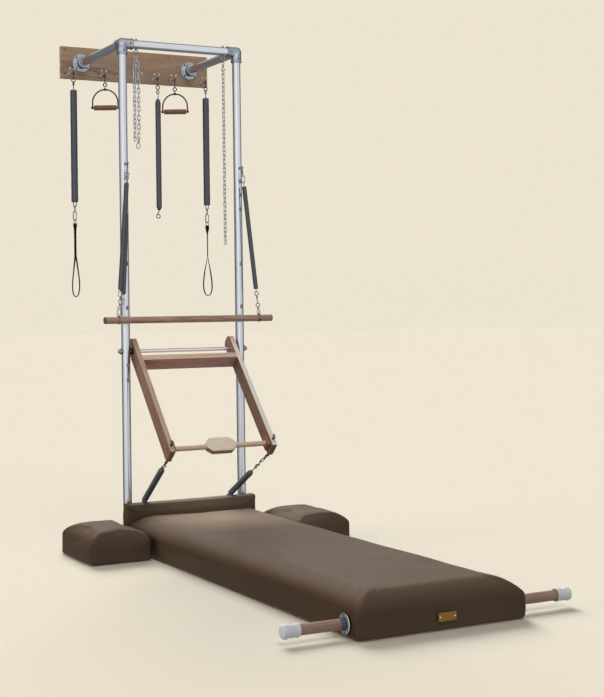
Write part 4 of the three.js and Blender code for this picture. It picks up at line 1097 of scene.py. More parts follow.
# ------------------------------------------------------------------ roll-down bar and its springs
def roll_down():
    M = Mesh()
    L = ROLL_X[1] - ROLL_X[0]
    M.lathe((ROLL_X[0], HANG_Y, ROLL_Z), (ROLL_X[1], HANG_Y, ROLL_Z),
            [(0, 0), (ROLL_R - 3.4, 0), (ROLL_R - 1.4, 0.7), (ROLL_R - 0.3, 2.2), (ROLL_R, 4), (ROLL_R, L / 2), (ROLL_R, L - 4), (ROLL_R - 0.3, L - 2.2), (ROLL_R - 1.4, L - 0.7), (ROLL_R - 3.4, L), (0, L)],
            MAT["dull_x"], 40)
    for x0, sgn in ((ROLL_X[0], 1), (ROLL_X[1], -1)):
        M.lathe((x0, HANG_Y, ROLL_Z), (x0 + sgn, HANG_Y, ROLL_Z), [(0, -0.15), (ROLL_R - 3.3, -0.15), (ROLL_R - 1.2, 0.6), (ROLL_R - 0.1, 2.2), (ROLL_R + 0.2, 4), (ROLL_R + 0.15, 5.4), (ROLL_R - 0.4, 6), (0, 6)], MAT["end"], 40)
    M.build("roll_down_bar_rod", "roll_down_bar", 40, ["roll_down_bar"])
    for i, side, s in ((0, "left", -1), (1, "right", 1)):
        top = np.array([s * HALF, EYE_Y - 7.6, EYE_Z - 2.4])
        a = np.array([s * HALF, HANG_Y + 4, EYE_Z - 14])
        b = np.array([ROLL_LOOP_X[i], HANG_Y, ROLL_Z + 24])
        d = (b - a) / np.linalg.norm(b - a)
        L = float(np.linalg.norm(b - a))
        M = Mesh()
        R3, _ = toward(a, b, (1, 0, 0))
        M.ring(top, 7.0, 2.0, MAT["chrome"], "yz", 24, 9)
        sn = snap(MAT["chrome"], 62.0, 2.3)
        place((R3, a - d * 4), M, sn)
        M.sweep([a + d * 50, a + d * 76], 2.0, MAT["chrome"], 8)
        add_sleeve(M, a + d * 72, a + d * (L - 108), 10.2, 0.45, 5.2, 0.72, 5.0, 24, 1.3, 0, 1.7 * s)
        # lower end: hook, rings and a swivel snap down to the wire round the bar
        ax = lambda z, dx=0.0: a + d * ((a[2] - z) / abs(d[2])) + np.array([dx, 0, 0])
        m = MAT["chrome"]
        M.sweep([ax(1116), ax(1104)], 2.2, m, 8)
        if side == "left":
            M.oval(ax(1108), ax(1081), 6.6, 2.1, m, (1, 0, 0), 8, 8)
            M.ring(ax(1079, 3.0), 5.4, 1.9, m, "yz", 20, 8)
            M.ring(ax(1062, 8.0), 12.6, 2.4, m, "xz", 32, 10)
            M.ring(ax(1047, 1.5), 5.6, 1.9, m, "yz", 20, 8)
            M.lathe(ax(1043), b, [(0, 0), (3.0, 0), (6.6, 2.4), (8.0, 6), (7.4, 10), (4.2, 13), (4.8, 15), (4.8, 17), (2.6, 19), (0, 19)], MAT["bright"], 20)
            M.oval(ax(1031), ax(997), 7.4, 2.1, m, (1, 0, 0), 8, 8)
        else:
            M.ring(ax(1092), 9.0, 2.3, m, "xz", 26, 9)
            M.lathe(ax(1082), b, [(0, 0), (2.6, 0), (4.2, 2), (4.8, 6), (4.0, 10), (2.6, 12), (2.4, 34), (0, 34)], m, 16)
            M.ring(ax(1039), 8.8, 2.3, m, "xz", 26, 9)
            M.ring(ax(1026), 5.4, 1.9, m, "yz", 20, 8)
            M.oval(ax(1022), ax(998), 5.8, 2.0, m, (1, 0, 0), 8, 8)
        for k in (-1.9, 1.9):
            M.ring((ROLL_LOOP_X[i] + k, HANG_Y, ROLL_Z + 1.4), 17.4, 1.5, MAT["chrome"], "yz", 36, 8)
        M.sweep([b - d * 6, (ROLL_LOOP_X[i], HANG_Y, ROLL_Z + 18.6)], 1.8, MAT["chrome"], 8)
        obj = M.build(f"roll_down_spring_{side}_cover", None, 40)
        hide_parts(f"roll_down_spring_{side}")
        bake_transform(obj)


roll_down()


def short_spring():
    a = np.array([-277.0, -31, 1478])
    m0, m1 = np.array([-279.3, -31.8, 1446]), np.array([-297.2, -31.8, 1093])
    d = (m1 - m0) / np.linalg.norm(m1 - m0)
    M = Mesh()
    add_sleeve(M, m0, m1, 11.3, 0.3, 5.2, 0.6, 9.0, 24, 1.4, 0, 8.3)
    M.ring(a + np.array([0, 0, -1]), 6.2, 1.8, MAT["chrome"], "xz", 22, 8)
    M.sweep([a - np.array([0, 0, 7]), m0 + d * 4], 2.0, MAT["chrome"], 8)
    M.sweep([m1 - d * 4, (-303, -33, 1086), (-308, -36, 1078), (-309, -38, 1070)], 1.9, MAT["chrome"], 8, smooth=4)
    M.ring((-309, -38.5, 1069), 5.0, 1.7, MAT["chrome"], "xz", 20, 8)
    M.build("short_spring_cover", "short_spring", 40, ["short_spring"])


short_spring()


# ------------------------------------------------------------------ wall hooks
def board_hook(M, x, drop=0.0):
    z = HOOK_Z
    m = MAT["chrome"]
    M.lathe((x, BOARD_Y - 0.3, z), (x, 0, z), [(0, 0), (8.4, 0), (8.8, 0.5), (8.4, 1.6), (6.6, 2.8), (4.5, 3.6), (2.6, 4.0)], MAT["chrome"], 28)
    M.sweep([(x, BOARD_Y - 3, z), (x, HOOK_Y, z)], 2.5, m, 12)
    M.sweep([(x - 11.4, HOOK_Y, z + 17.5), (x - 10.6, HOOK_Y, z + 10), (x - 9.0, HOOK_Y, z + 4.2), (x - 6.6, HOOK_Y, z + 0.8), (x - 3, HOOK_Y, z), (x + 3, HOOK_Y, z),
             (x + 6.6, HOOK_Y, z + 0.8), (x + 9.0, HOOK_Y, z + 4.2), (x + 10.6, HOOK_Y, z + 10), (x + 11.4, HOOK_Y, z + 17.5)], 2.4, m, 10, smooth=4)
    for s in (-1, 1):
        M.ball((x + s * 11.4, HOOK_Y, z + 19), 5.0, MAT["bright"], 18, 10)


for key, x in HOOKS.items():
    M = Mesh()
    board_hook(M, x)
    M.build(f"board_hook_{key}_rod", ROOT, 40, [f"board_hook_{key}"])
M = Mesh()
for x in (-93.0, 4.0):
    board_hook(M, x)
M.build("spare_board_hooks", ROOT, 40, ())


# ------------------------------------------------------------------ leg springs and foot loops
def leg_springs():
    for side in ("left", "right"):
        x = HOOKS[f"leg_{side}"] + BESIDE
        M = Mesh()
        M.ring((x, HOOK_Y, HANG_Z), 7.8, 1.9, MAT["dark_wire"], "yz", 24, 9)
        M.sweep([(x, HOOK_Y, HANG_Z - 7.4), (x, HOOK_Y, HANG_Z - 26)], 1.9, MAT["dark_wire"], 8)
        M.ring((x, HOOK_Y, HANG_Z - 34), 8.6, 2.3, MAT["dark_wire"], "xz", 24, 9)
        M.ring((x, HOOK_Y, HANG_Z - 49.4), 8.0, 2.3, MAT["dark_wire"], "yz", 24, 9)
        M.sweep([(x, HOOK_Y, HANG_Z - 56.6), (x, HOOK_Y, 2054)], 2.0, MAT["dark_wire"], 8)
        add_sleeve(M, (x, HOOK_Y, 2058), (x, HOOK_Y, 1533), 15.7, 0.5, 6.4, 0.86, 3.0, 28, 1.45, 0, 5.0 if side == "left" else 9.0)
        # lower end: wire eye, ring and the snap
        M.oval((x, HOOK_Y, 1537), (x, HOOK_Y, 1511), 6.6, 2.1, MAT["dark_wire"], (1, 0, 0), 8, 8)
        sn = snap(MAT["chrome"], 70.0, 2.8)
        place((toward((x, HOOK_Y, 1517), (x, HOOK_Y, 1400), (1, 0, 0))[0], np.array([x, HOOK_Y, 1517.0])), M, sn)
        M.sweep([(x, HOOK_Y - 15, 1428), (x, HOOK_Y + 15, 1428), (x, HOOK_Y + 15, 1440), (x, HOOK_Y + 8, 1448.5), (x, HOOK_Y, 1450.6), (x, HOOK_Y - 8, 1448.5), (x, HOOK_Y - 15, 1440)],
                1.9, MAT["chrome"], 9, True, smooth=4)
        obj = M.build(f"leg_spring_{side}_cover", None, 40)
        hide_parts(f"leg_spring_{side}")
        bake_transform(obj)


leg_springs()


def ribbon(M, path, width, thick, mat, axis=1, crown=0.25):
    """flat strap along a path in x-z, its width along y; section with rolled edges"""
    p = np.array(path, float)
    tan = np.gradient(p, axis=0)
    tan /= np.linalg.norm(tan, axis=1)[:, None]
    nrm = np.cross(tan, np.array([0, 1.0, 0]))
    h, w = thick / 2, width / 2
    sec = [(-w, -h * 0.5), (-w + 0.8, -h), (-w * 0.5, -h), (0, -h), (w * 0.5, -h), (w - 0.8, -h), (w, -h * 0.5), (w, h * 0.5), (w - 0.8, h), (w * 0.5, h), (0, h), (-w * 0.5, h), (-w + 0.8, h), (-w, h * 0.5)]
    v = []
    for c, n in zip(p, nrm):
        for a, b in sec:
            v.append(c + np.array([0, a, 0]) + n * b)
    k = len(sec)
    f = []
    for i in range(len(p) - 1):
        for j in range(k):
            l = (j + 1) % k
            f.append((i * k + j, i * k + l, (i + 1) * k + l, (i + 1) * k + j))
    f.append(tuple(range(k))[::-1])
    f.append(tuple((len(p) - 1) * k + j for j in range(k)))
    M.add(v, f, mat)


def foot_loops():
    for side in ("left", "right"):
        x = HOOKS[f"leg_{side}"] + BESIDE
        w = 16.5 if side == "left" else 21.0
        T = 2.2
        g = 1.35
        left = [(-g, 1290), (-2.2, 1275), (-5.2, 1255), (-w * 0.55, 1222), (-w * 0.86, 1180), (-w, 1145), (-w * 0.9, 1116), (-w * 0.55, 1097), (0, 1089.4)]
        half = spline([(g * -1, HOOK_Y, 1400), (-g, HOOK_Y, 1360), (-g, HOOK_Y, 1320)] + [(u, HOOK_Y, z) for u, z in left], 5)
        loop = np.concatenate([half, (half[::-1] * np.array([-1, 1, 1]))[1:]])
        top = spline([(g, HOOK_Y, 1400), (2.4, HOOK_Y, 1412), (4.0, HOOK_Y, 1421), (4.3, HOOK_Y, 1428), (3.0, HOOK_Y, 1432.6), (0, HOOK_Y, 1433.6), (-3.0, HOOK_Y, 1432.6), (-4.3, HOOK_Y, 1428), (-4.0, HOOK_Y, 1421), (-2.4, HOOK_Y, 1412), (-g, HOOK_Y, 1400)], 4)
        M = Mesh()
        full = np.concatenate([loop, top[1:]])
        full[:, 0] += x
        # a little life in the webbing: the free loop leans and twists
        zz = full[:, 2]
        low = np.clip((1290 - zz) / 200, 0, 1)
        full[:, 0] += (1.6 if side == "left" else -1.2) * np.sin(low * 3.0)
        ribbon(M, full, 24.6, T, MAT["web"])
        # stitched box where the strap is doubled
        S = Mesh()
        for zc in (1388, 1372, 1310, 1296):
            for dx in (-g - T / 2 - 0.15, g + T / 2 + 0.15):
                S.sweep([(x + dx, HOOK_Y - 9.5, zc), (x + dx, HOOK_Y + 9.5, zc)], 0.45, MAT["web"], 6)
        place((np.eye(3), np.zeros(3)), M, S)
        for q in M.v:
            flat, loose = (-3, -10) if side == "left" else (-25, -14)
            t = np.radians(flat + (loose - flat) * np.clip((1290 - q[:, 2]) / 90, 0, 1)) * np.clip((1412 - q[:, 2]) / 26, 0, 1)
            dx, dy = q[:, 0] - x, q[:, 1] - HOOK_Y
            q[:, 0], q[:, 1] = x + dx * np.cos(t) - dy * np.sin(t), HOOK_Y + dx * np.sin(t) + dy * np.cos(t)
        obj = M.build(f"foot_loop_{side}_webbing", f"foot_loop_{side}", 50, [f"leg_strap_{side}"])


foot_loops()


# ------------------------------------------------------------------ arm spring
def arm_spring():
    x = HOOKS["arm"] + BESIDE
    M = Mesh()
    M.ring((x, HOOK_Y, HANG_Z), 7.8, 1.9, MAT["dark_wire"], "yz", 24, 9)
    M.sweep([(x, HOOK_Y, HANG_Z - 7.4), (x, HOOK_Y, HANG_Z - 34)], 1.9, MAT["dark_wire"], 8)
    M.ring((x, HOOK_Y, HANG_Z - 42), 9.0, 2.3, MAT["dark_wire"], "xz", 24, 9)
    M.lathe((x, HOOK_Y, HANG_Z - 50), (x, HOOK_Y, 0), [(0, 0), (2.4, 0), (4.0, 2), (4.4, 5), (3.2, 8), (0, 9)], MAT["chrome"], 16)
    M.ring((x, HOOK_Y, HANG_Z - 64), 7.2, 2.2, MAT["dark_wire"], "xz", 24, 9)
    M.sweep([(x, HOOK_Y, HANG_Z - 70), (x + 1.4, HOOK_Y, HANG_Z - 80), (x, HOOK_Y, 2038)], 1.9, MAT["dark_wire"], 8, smooth=3)
    add_sleeve(M, (x, HOOK_Y, 2042), (x, HOOK_Y, 1502), 13.1, 0.12, 6.0, 0.34, 22.0, 28, 2.0, 0, 2.2)
    M.sweep([(x, HOOK_Y, 1505), (x - 2.0, HOOK_Y, 1497), (x - 8.5, HOOK_Y, 1486), (x - 13.4, HOOK_Y, 1477)], 2.1, MAT["dark_wire"], 8, smooth=4)
    M.ring((x - 5, HOOK_Y, 1474), 9.4, 2.1, MAT["dark_wire"], "xz", 28, 9)
    M.build("arm_spring_cover", "arm_spring", 40, ["arm_spring"])


arm_spring()


# ------------------------------------------------------------------ hand loops
def hand_loops():
    for side in ("left", "right"):
        x = HOOKS[f"handle_{side}"] + BESIDE
        R = 60.0
        pts = [(-R, 0, -2), (-R, 0, 12)]
        for i in range(1, 18):
            t = math.pi - i / 18 * math.pi
            pts.append((R * math.cos(t), 0, 24 + 62 * math.sin(t)))
        pts += [(R, 0, 12), (R, 0, -2)]
        m = MAT["dark_wire"]
        T = Mesh()
        T.sweep(pts, 3.4, m, 12, smooth=4)
        T.sweep([(-67, 0, 0), (67, 0, 0)], 2.6, m, 12)
        for s in (-1, 1):
            # flattened eye of the bail, and the rivet's head outside it
            T.lathe((s * 56.4, 0, 0), (s * 100, 0, 0), [(2.6, 0), (5.8, 0), (6.2, 0.8), (6.2, 6.2), (5.8, 7), (2.6, 7)], m, 22, True)
            T.lathe((s * 63.6, 0, 0), (s * 100, 0, 0), [(0, 0), (4.6, 0), (4.9, 0.8), (4.0, 2.8), (2.0, 3.8), (0, 4.0)], m, 20)
        # lug at the crown, swivel eye and the wire up to the hook
        T.prism(round_rect(-6.5, 6.5, 81, 91.5, 2, 4), 1, -4.2, 4.2, m, 0.8)
        T.lathe((0, 0, 90), (0, 0, 3000), [(0, 0), (3.6, 0), (3.8, 3), (2.6, 6), (2.6, 12), (0, 13)], MAT["chrome"], 16)
        T.ring((0, 0, 109), 8.4, 2.4, m, "xz", 26, 10)
        T.ring((0, 0, 121.6), 5.4, 2.1, m, "yz", 20, 8)
        c, sn = math.cos(GRIP_TURN), math.sin(GRIP_TURN)
        turn = np.array([[c, sn, 0], [-sn, c, 0], [0, 0, 1.0]])
        M = Mesh()
        place((turn, np.array([x, HOOK_Y, GRIP_Z])), M, T)
        M.sweep([(x, HOOK_Y, GRIP_Z + 126), (x, HOOK_Y, HANG_Z - 7.2)], 2.1, m, 8)
        M.ring((x, HOOK_Y, HANG_Z), 7.8, 1.9, m, "yz", 24, 9)
        M.build(f"hand_loop_{side}_bail", f"hand_loop_{side}", 40, [f"handle_bail_{side}"])
        G = Mesh()
        o, w = np.array([x, HOOK_Y, GRIP_Z]), np.array([c, -sn, 0])
        G.lathe(o - 54 * w, o + 54 * w, [(3.6, 0), (9.6, 0), (11.0, 0.8), (11.7, 2.6), (12.0, 14), (12.2, 54), (12.0, 94), (11.7, 105.4), (11.0, 107.2), (9.6, 108), (3.6, 108)], MAT["grip"], 40, True)
        G.build(f"hand_grip_{side}_wood", f"hand_grip_{side}", 40, [f"handle_grip_{side}"])


hand_loops()


# ------------------------------------------------------------------ chains, link by link
def chain_run(M, pts, pitch=19.5, wire=2.1, width=16.0, turn0=0.0, mat=None):
    """oval links along a path, each turned a quarter from the one before"""
    p = np.array(pts, float)
    seg = np.linalg.norm(np.diff(p, axis=0), axis=1)
    s = np.concatenate([[0], np.cumsum(seg)])
    n = int(round(s[-1] / pitch))
    pitch = s[-1] / n
    at = lambda q: np.array([np.interp(q, s, p[:, k]) for k in range(3)])
    for i in range(n):
        c0, c1 = at(max(i * pitch - 2 * wire + 0.4, 0) if i else 0.0), at(min((i + 1) * pitch + 2 * wire - 0.4, s[-1]))
        t = turn0 + (math.pi / 2) * i + 0.10 * math.sin(i * 1.7)
        side = np.array([math.cos(t), math.sin(t), 0.0])
        M.oval(c0, c1, width / 2 - wire, wire, mat or MAT["chain"], side, 6, 7)


def chains():
    for i, side in ((0, "left"), (1, "right")):
        x = CHAIN_X[i]
        M = Mesh()
        m = MAT["chrome"]
        M.sweep([(x, 0, TOP_Z - 24.4), (x, 0, TOP_Z + 27)], 3.0, m, 14)
        hex_nut(M, (x, 0, TOP_Z + 19.2), (x, 0, TOP_Z + 60), 6.4, 5.0, MAT["fitting"], 0)
        M.lathe((x, 0, TOP_Z - 18.8), (x, 0, 0), [(0, 0), (6.2, 0), (6.4, 0.6), (5.6, 2.0), (3.2, 3.0), (0, 3.0)], m, 20)
        M.ring((x, 0, TOP_Z - 32), 8.6, 2.4, m, "xz", 28, 10)
        M.build(f"chain_eye_{side}_bolt", ROOT, 40, [f"chain_eye_{side}"])
    x, z = CHAIN_X[0], CHAIN_LOOP_Z
    M = Mesh()
    M.ring((x, 0, z), 6.6, 1.8, MAT["chrome"], "yz", 22, 9)
    M.ring((x, 0, z - 11.6), 6.6, 1.7, MAT["chain"], "xz", 22, 8)
    for s, low in ((-1, 1766.0), (1, 1782.0)):
        path = spline([(x + s * 2.5, 0, z - 16), (x + s * 5, 0, z - 34), (x + s * 8.5, 0, z - 58), (x + s * 9.5, 0, z - 90), (x + s * 9.5, 0, low)], 8)
        chain_run(M, path, turn0=0.35 if s < 0 else 1.2)
    a = np.array([x + 9.5, 0, 1786.0])
    b = np.array([x + 4, 0, 1732.0])
    R3, _ = toward(a, b, (1, 0, 0))
    place((R3, a + np.array([0, 0, 2.0])), M, snap(MAT["chrome"], float(np.linalg.norm(b - a)), 1.8, False))
    M.build("chain_left_links", "chain_left", 40, ["chain_left"])
    x = CHAIN_X[1]
    M = Mesh()
    M.ring((x, 0, z), 6.6, 1.8, MAT["chrome"], "yz", 22, 9)
    R3, _ = toward((x, 0, z), (x, 0, 0), (1, 0, 0))
    place((R3, np.array([x, 0, z - 3.6])), M, snap(MAT["chrome"], 44.0, 1.7, False))
    chain_run(M, [(x, 0, z - 42), (x, 0, 1315)], turn0=0.5)
    M.build("chain_right_links", "chain_right", 40, ["chain_right"])


chains()


# ------------------------------------------------------------------ padded pieces
def pad_shell(name, x, y, z, top, corner, foot, steps=10):
    """closed block: top = (inset, drop) of the rounded upper edge, corner = plan radius, foot = radius of the lower edge"""
    (x0, x1), (y0, y1), (z0, z1) = x, y, z
    levels = [(foot * (1 - math.sin(a)), z0 + foot * (1 - math.cos(a))) for a in np.linspace(0, math.pi / 2, 5)]
    levels += [(0.0, z) for z in np.linspace(z0 + foot, z1 - top[1], 6)[1:]]
    levels += [(top[0] * (1 - math.cos(a)), z1 - top[1] * (1 - math.sin(a))) for a in np.linspace(0, math.pi / 2, steps)[1:]]
    n = 6
    v, f, m = [], [], None
    for inn, h in levels:
        r = max(corner - inn * 0.6, 1.0)
        ring_ = round_rect(x0 + inn, x1 - inn, y0 + inn, y1 - inn, r, n)
        m = len(ring_)
        v += [(a, b, h) for a, b in ring_]
    for k in range(len(levels) - 1):
        for i in range(m):
            j = (i + 1) % m
            f.append((k * m + i, k * m + j, (k + 1) * m + j, (k + 1) * m + i))
    f.append(tuple(range(m))[::-1])
    f.append(tuple((len(levels) - 1) * m + i for i in range(m)))
    M = Mesh()
    M.add(v, f, MAT["vinyl"])
    return M.build(name, None, 80)


def dome(d, over):
    """height share, 0 at the edge to 1 at over inside it"""
    t = np.clip(d / over, 0, 1)
    return (1 - (1 - t) ** 2) ** 0.5


def pillow_shell(name, x, y, z, wall, over, corner, foot):
    """closed block with straight sides up to wall and a domed top over them"""
    (x0, x1), (y0, y1), (z0, z1) = x, y, z
    levels = [(foot * (1 - math.sin(a)), z0 + foot * (1 - math.cos(a))) for a in np.linspace(0, math.pi / 2, 5)]
    levels += [(0.0, h) for h in np.linspace(z0 + foot, wall, 6)[1:]]
    levels += [(over * t, wall + (z1 - wall) * float(dome(over * t, over))) for t in (0.01, 0.03, 0.06, 0.1, 0.16, 0.24, 0.34, 0.46, 0.6, 0.78, 1.0)]
    n, v, f, m = 6, [], [], 0
    for inn, h in levels:
        ring_ = round_rect(x0 + inn, x1 - inn, y0 + inn, y1 - inn, max(corner - inn * 0.6, 1.0), n)
        m = len(ring_)
        v += [(a, b, h) for a, b in ring_]
    for k in range(len(levels) - 1):
        for i in range(m):
            j = (i + 1) % m
            f.append((k * m + i, k * m + j, (k + 1) * m + j, (k + 1) * m + i))
    f.append(tuple(range(m))[::-1])
    f.append(tuple((len(levels) - 1) * m + i for i in range(m)))
    M = Mesh()
    M.add(v, f, MAT["vinyl"])
    return M.build(name, None, 80)


def set_dome(co, x, y, wall, top, overs):
    """height of the domed top from the distances to the four sides; overs = left, right, near, far"""
    fx = dome(co[:, 0] - x[0], overs[0]) * dome(x[1] - co[:, 0], overs[1])
    fy = dome(co[:, 1] - y[0], overs[2]) * dome(y[1] - co[:, 1], overs[3])
    both = 1 - ((1 - fx) ** 3 + (1 - fy) ** 3) ** (1 / 3)
    up = co[:, 2] > wall
    co[up, 2] = wall + ((top - wall) * np.clip(both, 0, 1))[up]
    return co


def square_up(co, x, y, by, reach=45.0):
    """pushes the upright corners out again after the smoothing and blowing up have drawn them in"""
    u = np.clip(1 - np.minimum(co[:, 0] - x[0], x[1] - co[:, 0]) / reach, 0, 1)
    v = np.clip(1 - np.minimum(co[:, 1] - y[0], y[1] - co[:, 1]) / reach, 0, 1)
    w = (u * v) ** 1.5 * np.clip((co[:, 2] - 6) / 30, 0, 1)
    co[:, 0] += by * w * np.sign(co[:, 0] - (x[0] + x[1]) / 2)
    co[:, 1] += by * w * np.sign(co[:, 1] - (y[0] + y[1]) / 2)
    return co


def apply_modifier(obj, mod):
    bpy.context.view_layer.objects.active = obj
    bpy.ops.object.modifier_apply(modifier=mod.name)


def read_points(me):
    co = np.empty(len(me.vertices) * 3)
    me.vertices.foreach_get("co", co)
    return co.reshape(-1, 3)


def write_points(me, co):
    me.vertices.foreach_set("co", co.ravel())
    me.update()


def remesh(obj, voxel):
    mod = obj.modifiers.new("remesh", "REMESH")
    mod.mode = "VOXEL"
    mod.voxel_size = voxel
    mod.adaptivity = 0.0
    apply_modifier(obj, mod)
    mod = obj.modifiers.new("even", "SMOOTH")
    mod.factor = 0.5
    mod.iterations = 3
    apply_modifier(obj, mod)


def inflate(obj, pressure, cap, share=1.0, hold=None):
    """blows the cover up as cloth; no point moves more than cap (metres). hold: weight 0..1 of the points that stay"""
    me = obj.data
    rest = read_points(me)
    sim = bpy.data.objects.new(obj.name + "_sim", me.copy())
    bpy.context.scene.collection.objects.link(sim)
    if hold is not None:
        g = sim.vertex_groups.new(name="hold")
        for i in np.nonzero(hold > 0.01)[0]:
            g.add([int(i)], float(hold[i]), "REPLACE")
    mod = sim.modifiers.new("cover", "CLOTH")
    st = mod.settings
    st.quality = 5
    st.mass = 0.35
    st.tension_stiffness = 18
    st.compression_stiffness = 18
    st.shear_stiffness = 6
    st.bending_stiffness = 1.2
    st.use_pressure = True
    st.uniform_pressure_force = pressure
    st.effector_weights.gravity = 0.0
    if hold is not None:
        st.vertex_group_mass = "hold"
    mod.collision_settings.use_collision = False
    mod.point_cache.frame_start, mod.point_cache.frame_end = 1, 20
    for fr in range(1, 21):
        bpy.context.scene.frame_set(fr)
    dg = bpy.context.evaluated_depsgraph_get()
    ev = sim.evaluated_get(dg).to_mesh()
    out = read_points(ev)
    sim.evaluated_get(dg).to_mesh_clear()
    move = (out - rest) * share
    length = np.linalg.norm(move, axis=1)
    length[length < 1e-9] = 1e-9
    soft = cap * np.tanh(length / cap)
    out = rest + move * (soft / length)[:, None]
    bpy.context.scene.frame_set(1)
    bpy.data.objects.remove(sim)
    write_points(me, out)


def subdivide(obj, levels=1):
    mod = obj.modifiers.new("fine", "SUBSURF")
    mod.levels = mod.render_levels = levels
    apply_modifier(obj, mod)
    for poly in obj.data.polygons:
        poly.use_smooth = True


def surface_points(obj, pts, sink):
    """the points, moved onto the cover and sunk into it"""
    from mathutils.bvhtree import BVHTree
    me = obj.data
    tree = BVHTree.FromPolygons([v.co.copy() for v in me.vertices], [tuple(p.vertices) for p in me.polygons])
    out = []
    for q in pts:
        loc, nrm, _, _ = tree.find_nearest(Vector(P(q)))
        out.append(np.array(loc - nrm * sink / 1000.0) * 1000.0 - np.array([0, FY, 0]))
    return np.array(out)


def seam_line(M, obj, pts, r=1.1, sink=0.5, closed=False, per=6, mat=None):
    path = spline(surface_points(obj, spline(np.array(pts, float), per, closed), sink), 1, closed)
    M.sweep(path, r, mat or MAT["vinyl"], 8, closed)


def stitches(M, obj, pts, pitch=6.0, r=0.42, sink=0.12):
    """row of thread stitches lying on the cover"""
    path = surface_points(obj, spline(np.array(pts, float), 10), sink)
    seg = np.linalg.norm(np.diff(path, axis=0), axis=1)
    s = np.concatenate([[0], np.cumsum(seg)])
    n = int(s[-1] / pitch)
    at = lambda q: np.array([np.interp(q, s, path[:, k]) for k in range(3)])
    for i in range(n):
        a, b = at(i * pitch), at(i * pitch + pitch * 0.66)
        M.sweep([a, (a + b) / 2, b], [r * 0.5, r, r * 0.5], MAT["thread"], 6)


MAT["thread"] = rubber("seam_thread", (0.035, 0.024, 0.016), (0.06, 0.043, 0.03), 0.6)


def tower_points(obj):
    return read_points(obj.data) * 1000.0 - np.array([0, FY, 0])


def set_tower_points(obj, co):
    write_points(obj.data, (co + np.array([0, FY, 0])) / 1000.0)


def slow_noise(co, scale, seed):
    return np.array([noise.noise(Vector((p[0] * scale + seed, p[1] * scale - seed, p[2] * scale + 2 * seed))) for p in co])


def bulge(co, x, y, z, side, crown, low=0.25):
    """crown on top, sides swelling between their corners, nothing at the foot"""
    u = (2 * co[:, 0] - x[0] - x[1]) / (x[1] - x[0])
    v = (2 * co[:, 1] - y[0] - y[1]) / (y[1] - y[0])
    w = np.clip((co[:, 2] - z[0]) / (z[1] - z[0]), 0, 1)
    out = co.copy()
    belly = np.clip(w / low, 0, 1) * (1 - np.clip((w - 0.5) / 0.5, 0, 1) ** 2 * 0.4)
    fx = np.clip(np.abs(u) ** 6, 0, 1) * np.sign(u) * (1 - np.clip(np.abs(v), 0, 1) ** 4)
    fy = np.clip(np.abs(v) ** 6, 0, 1) * np.sign(v) * (1 - np.clip(np.abs(u), 0, 1) ** 4)
    out[:, 0] += side * fx * belly
    out[:, 1] += side * fy * belly
    out[:, 2] += crown * w ** 3 * (1 - np.clip(np.abs(u), 0, 1) ** 3) * (1 - np.clip(np.abs(v), 0, 1) ** 5)
    return out


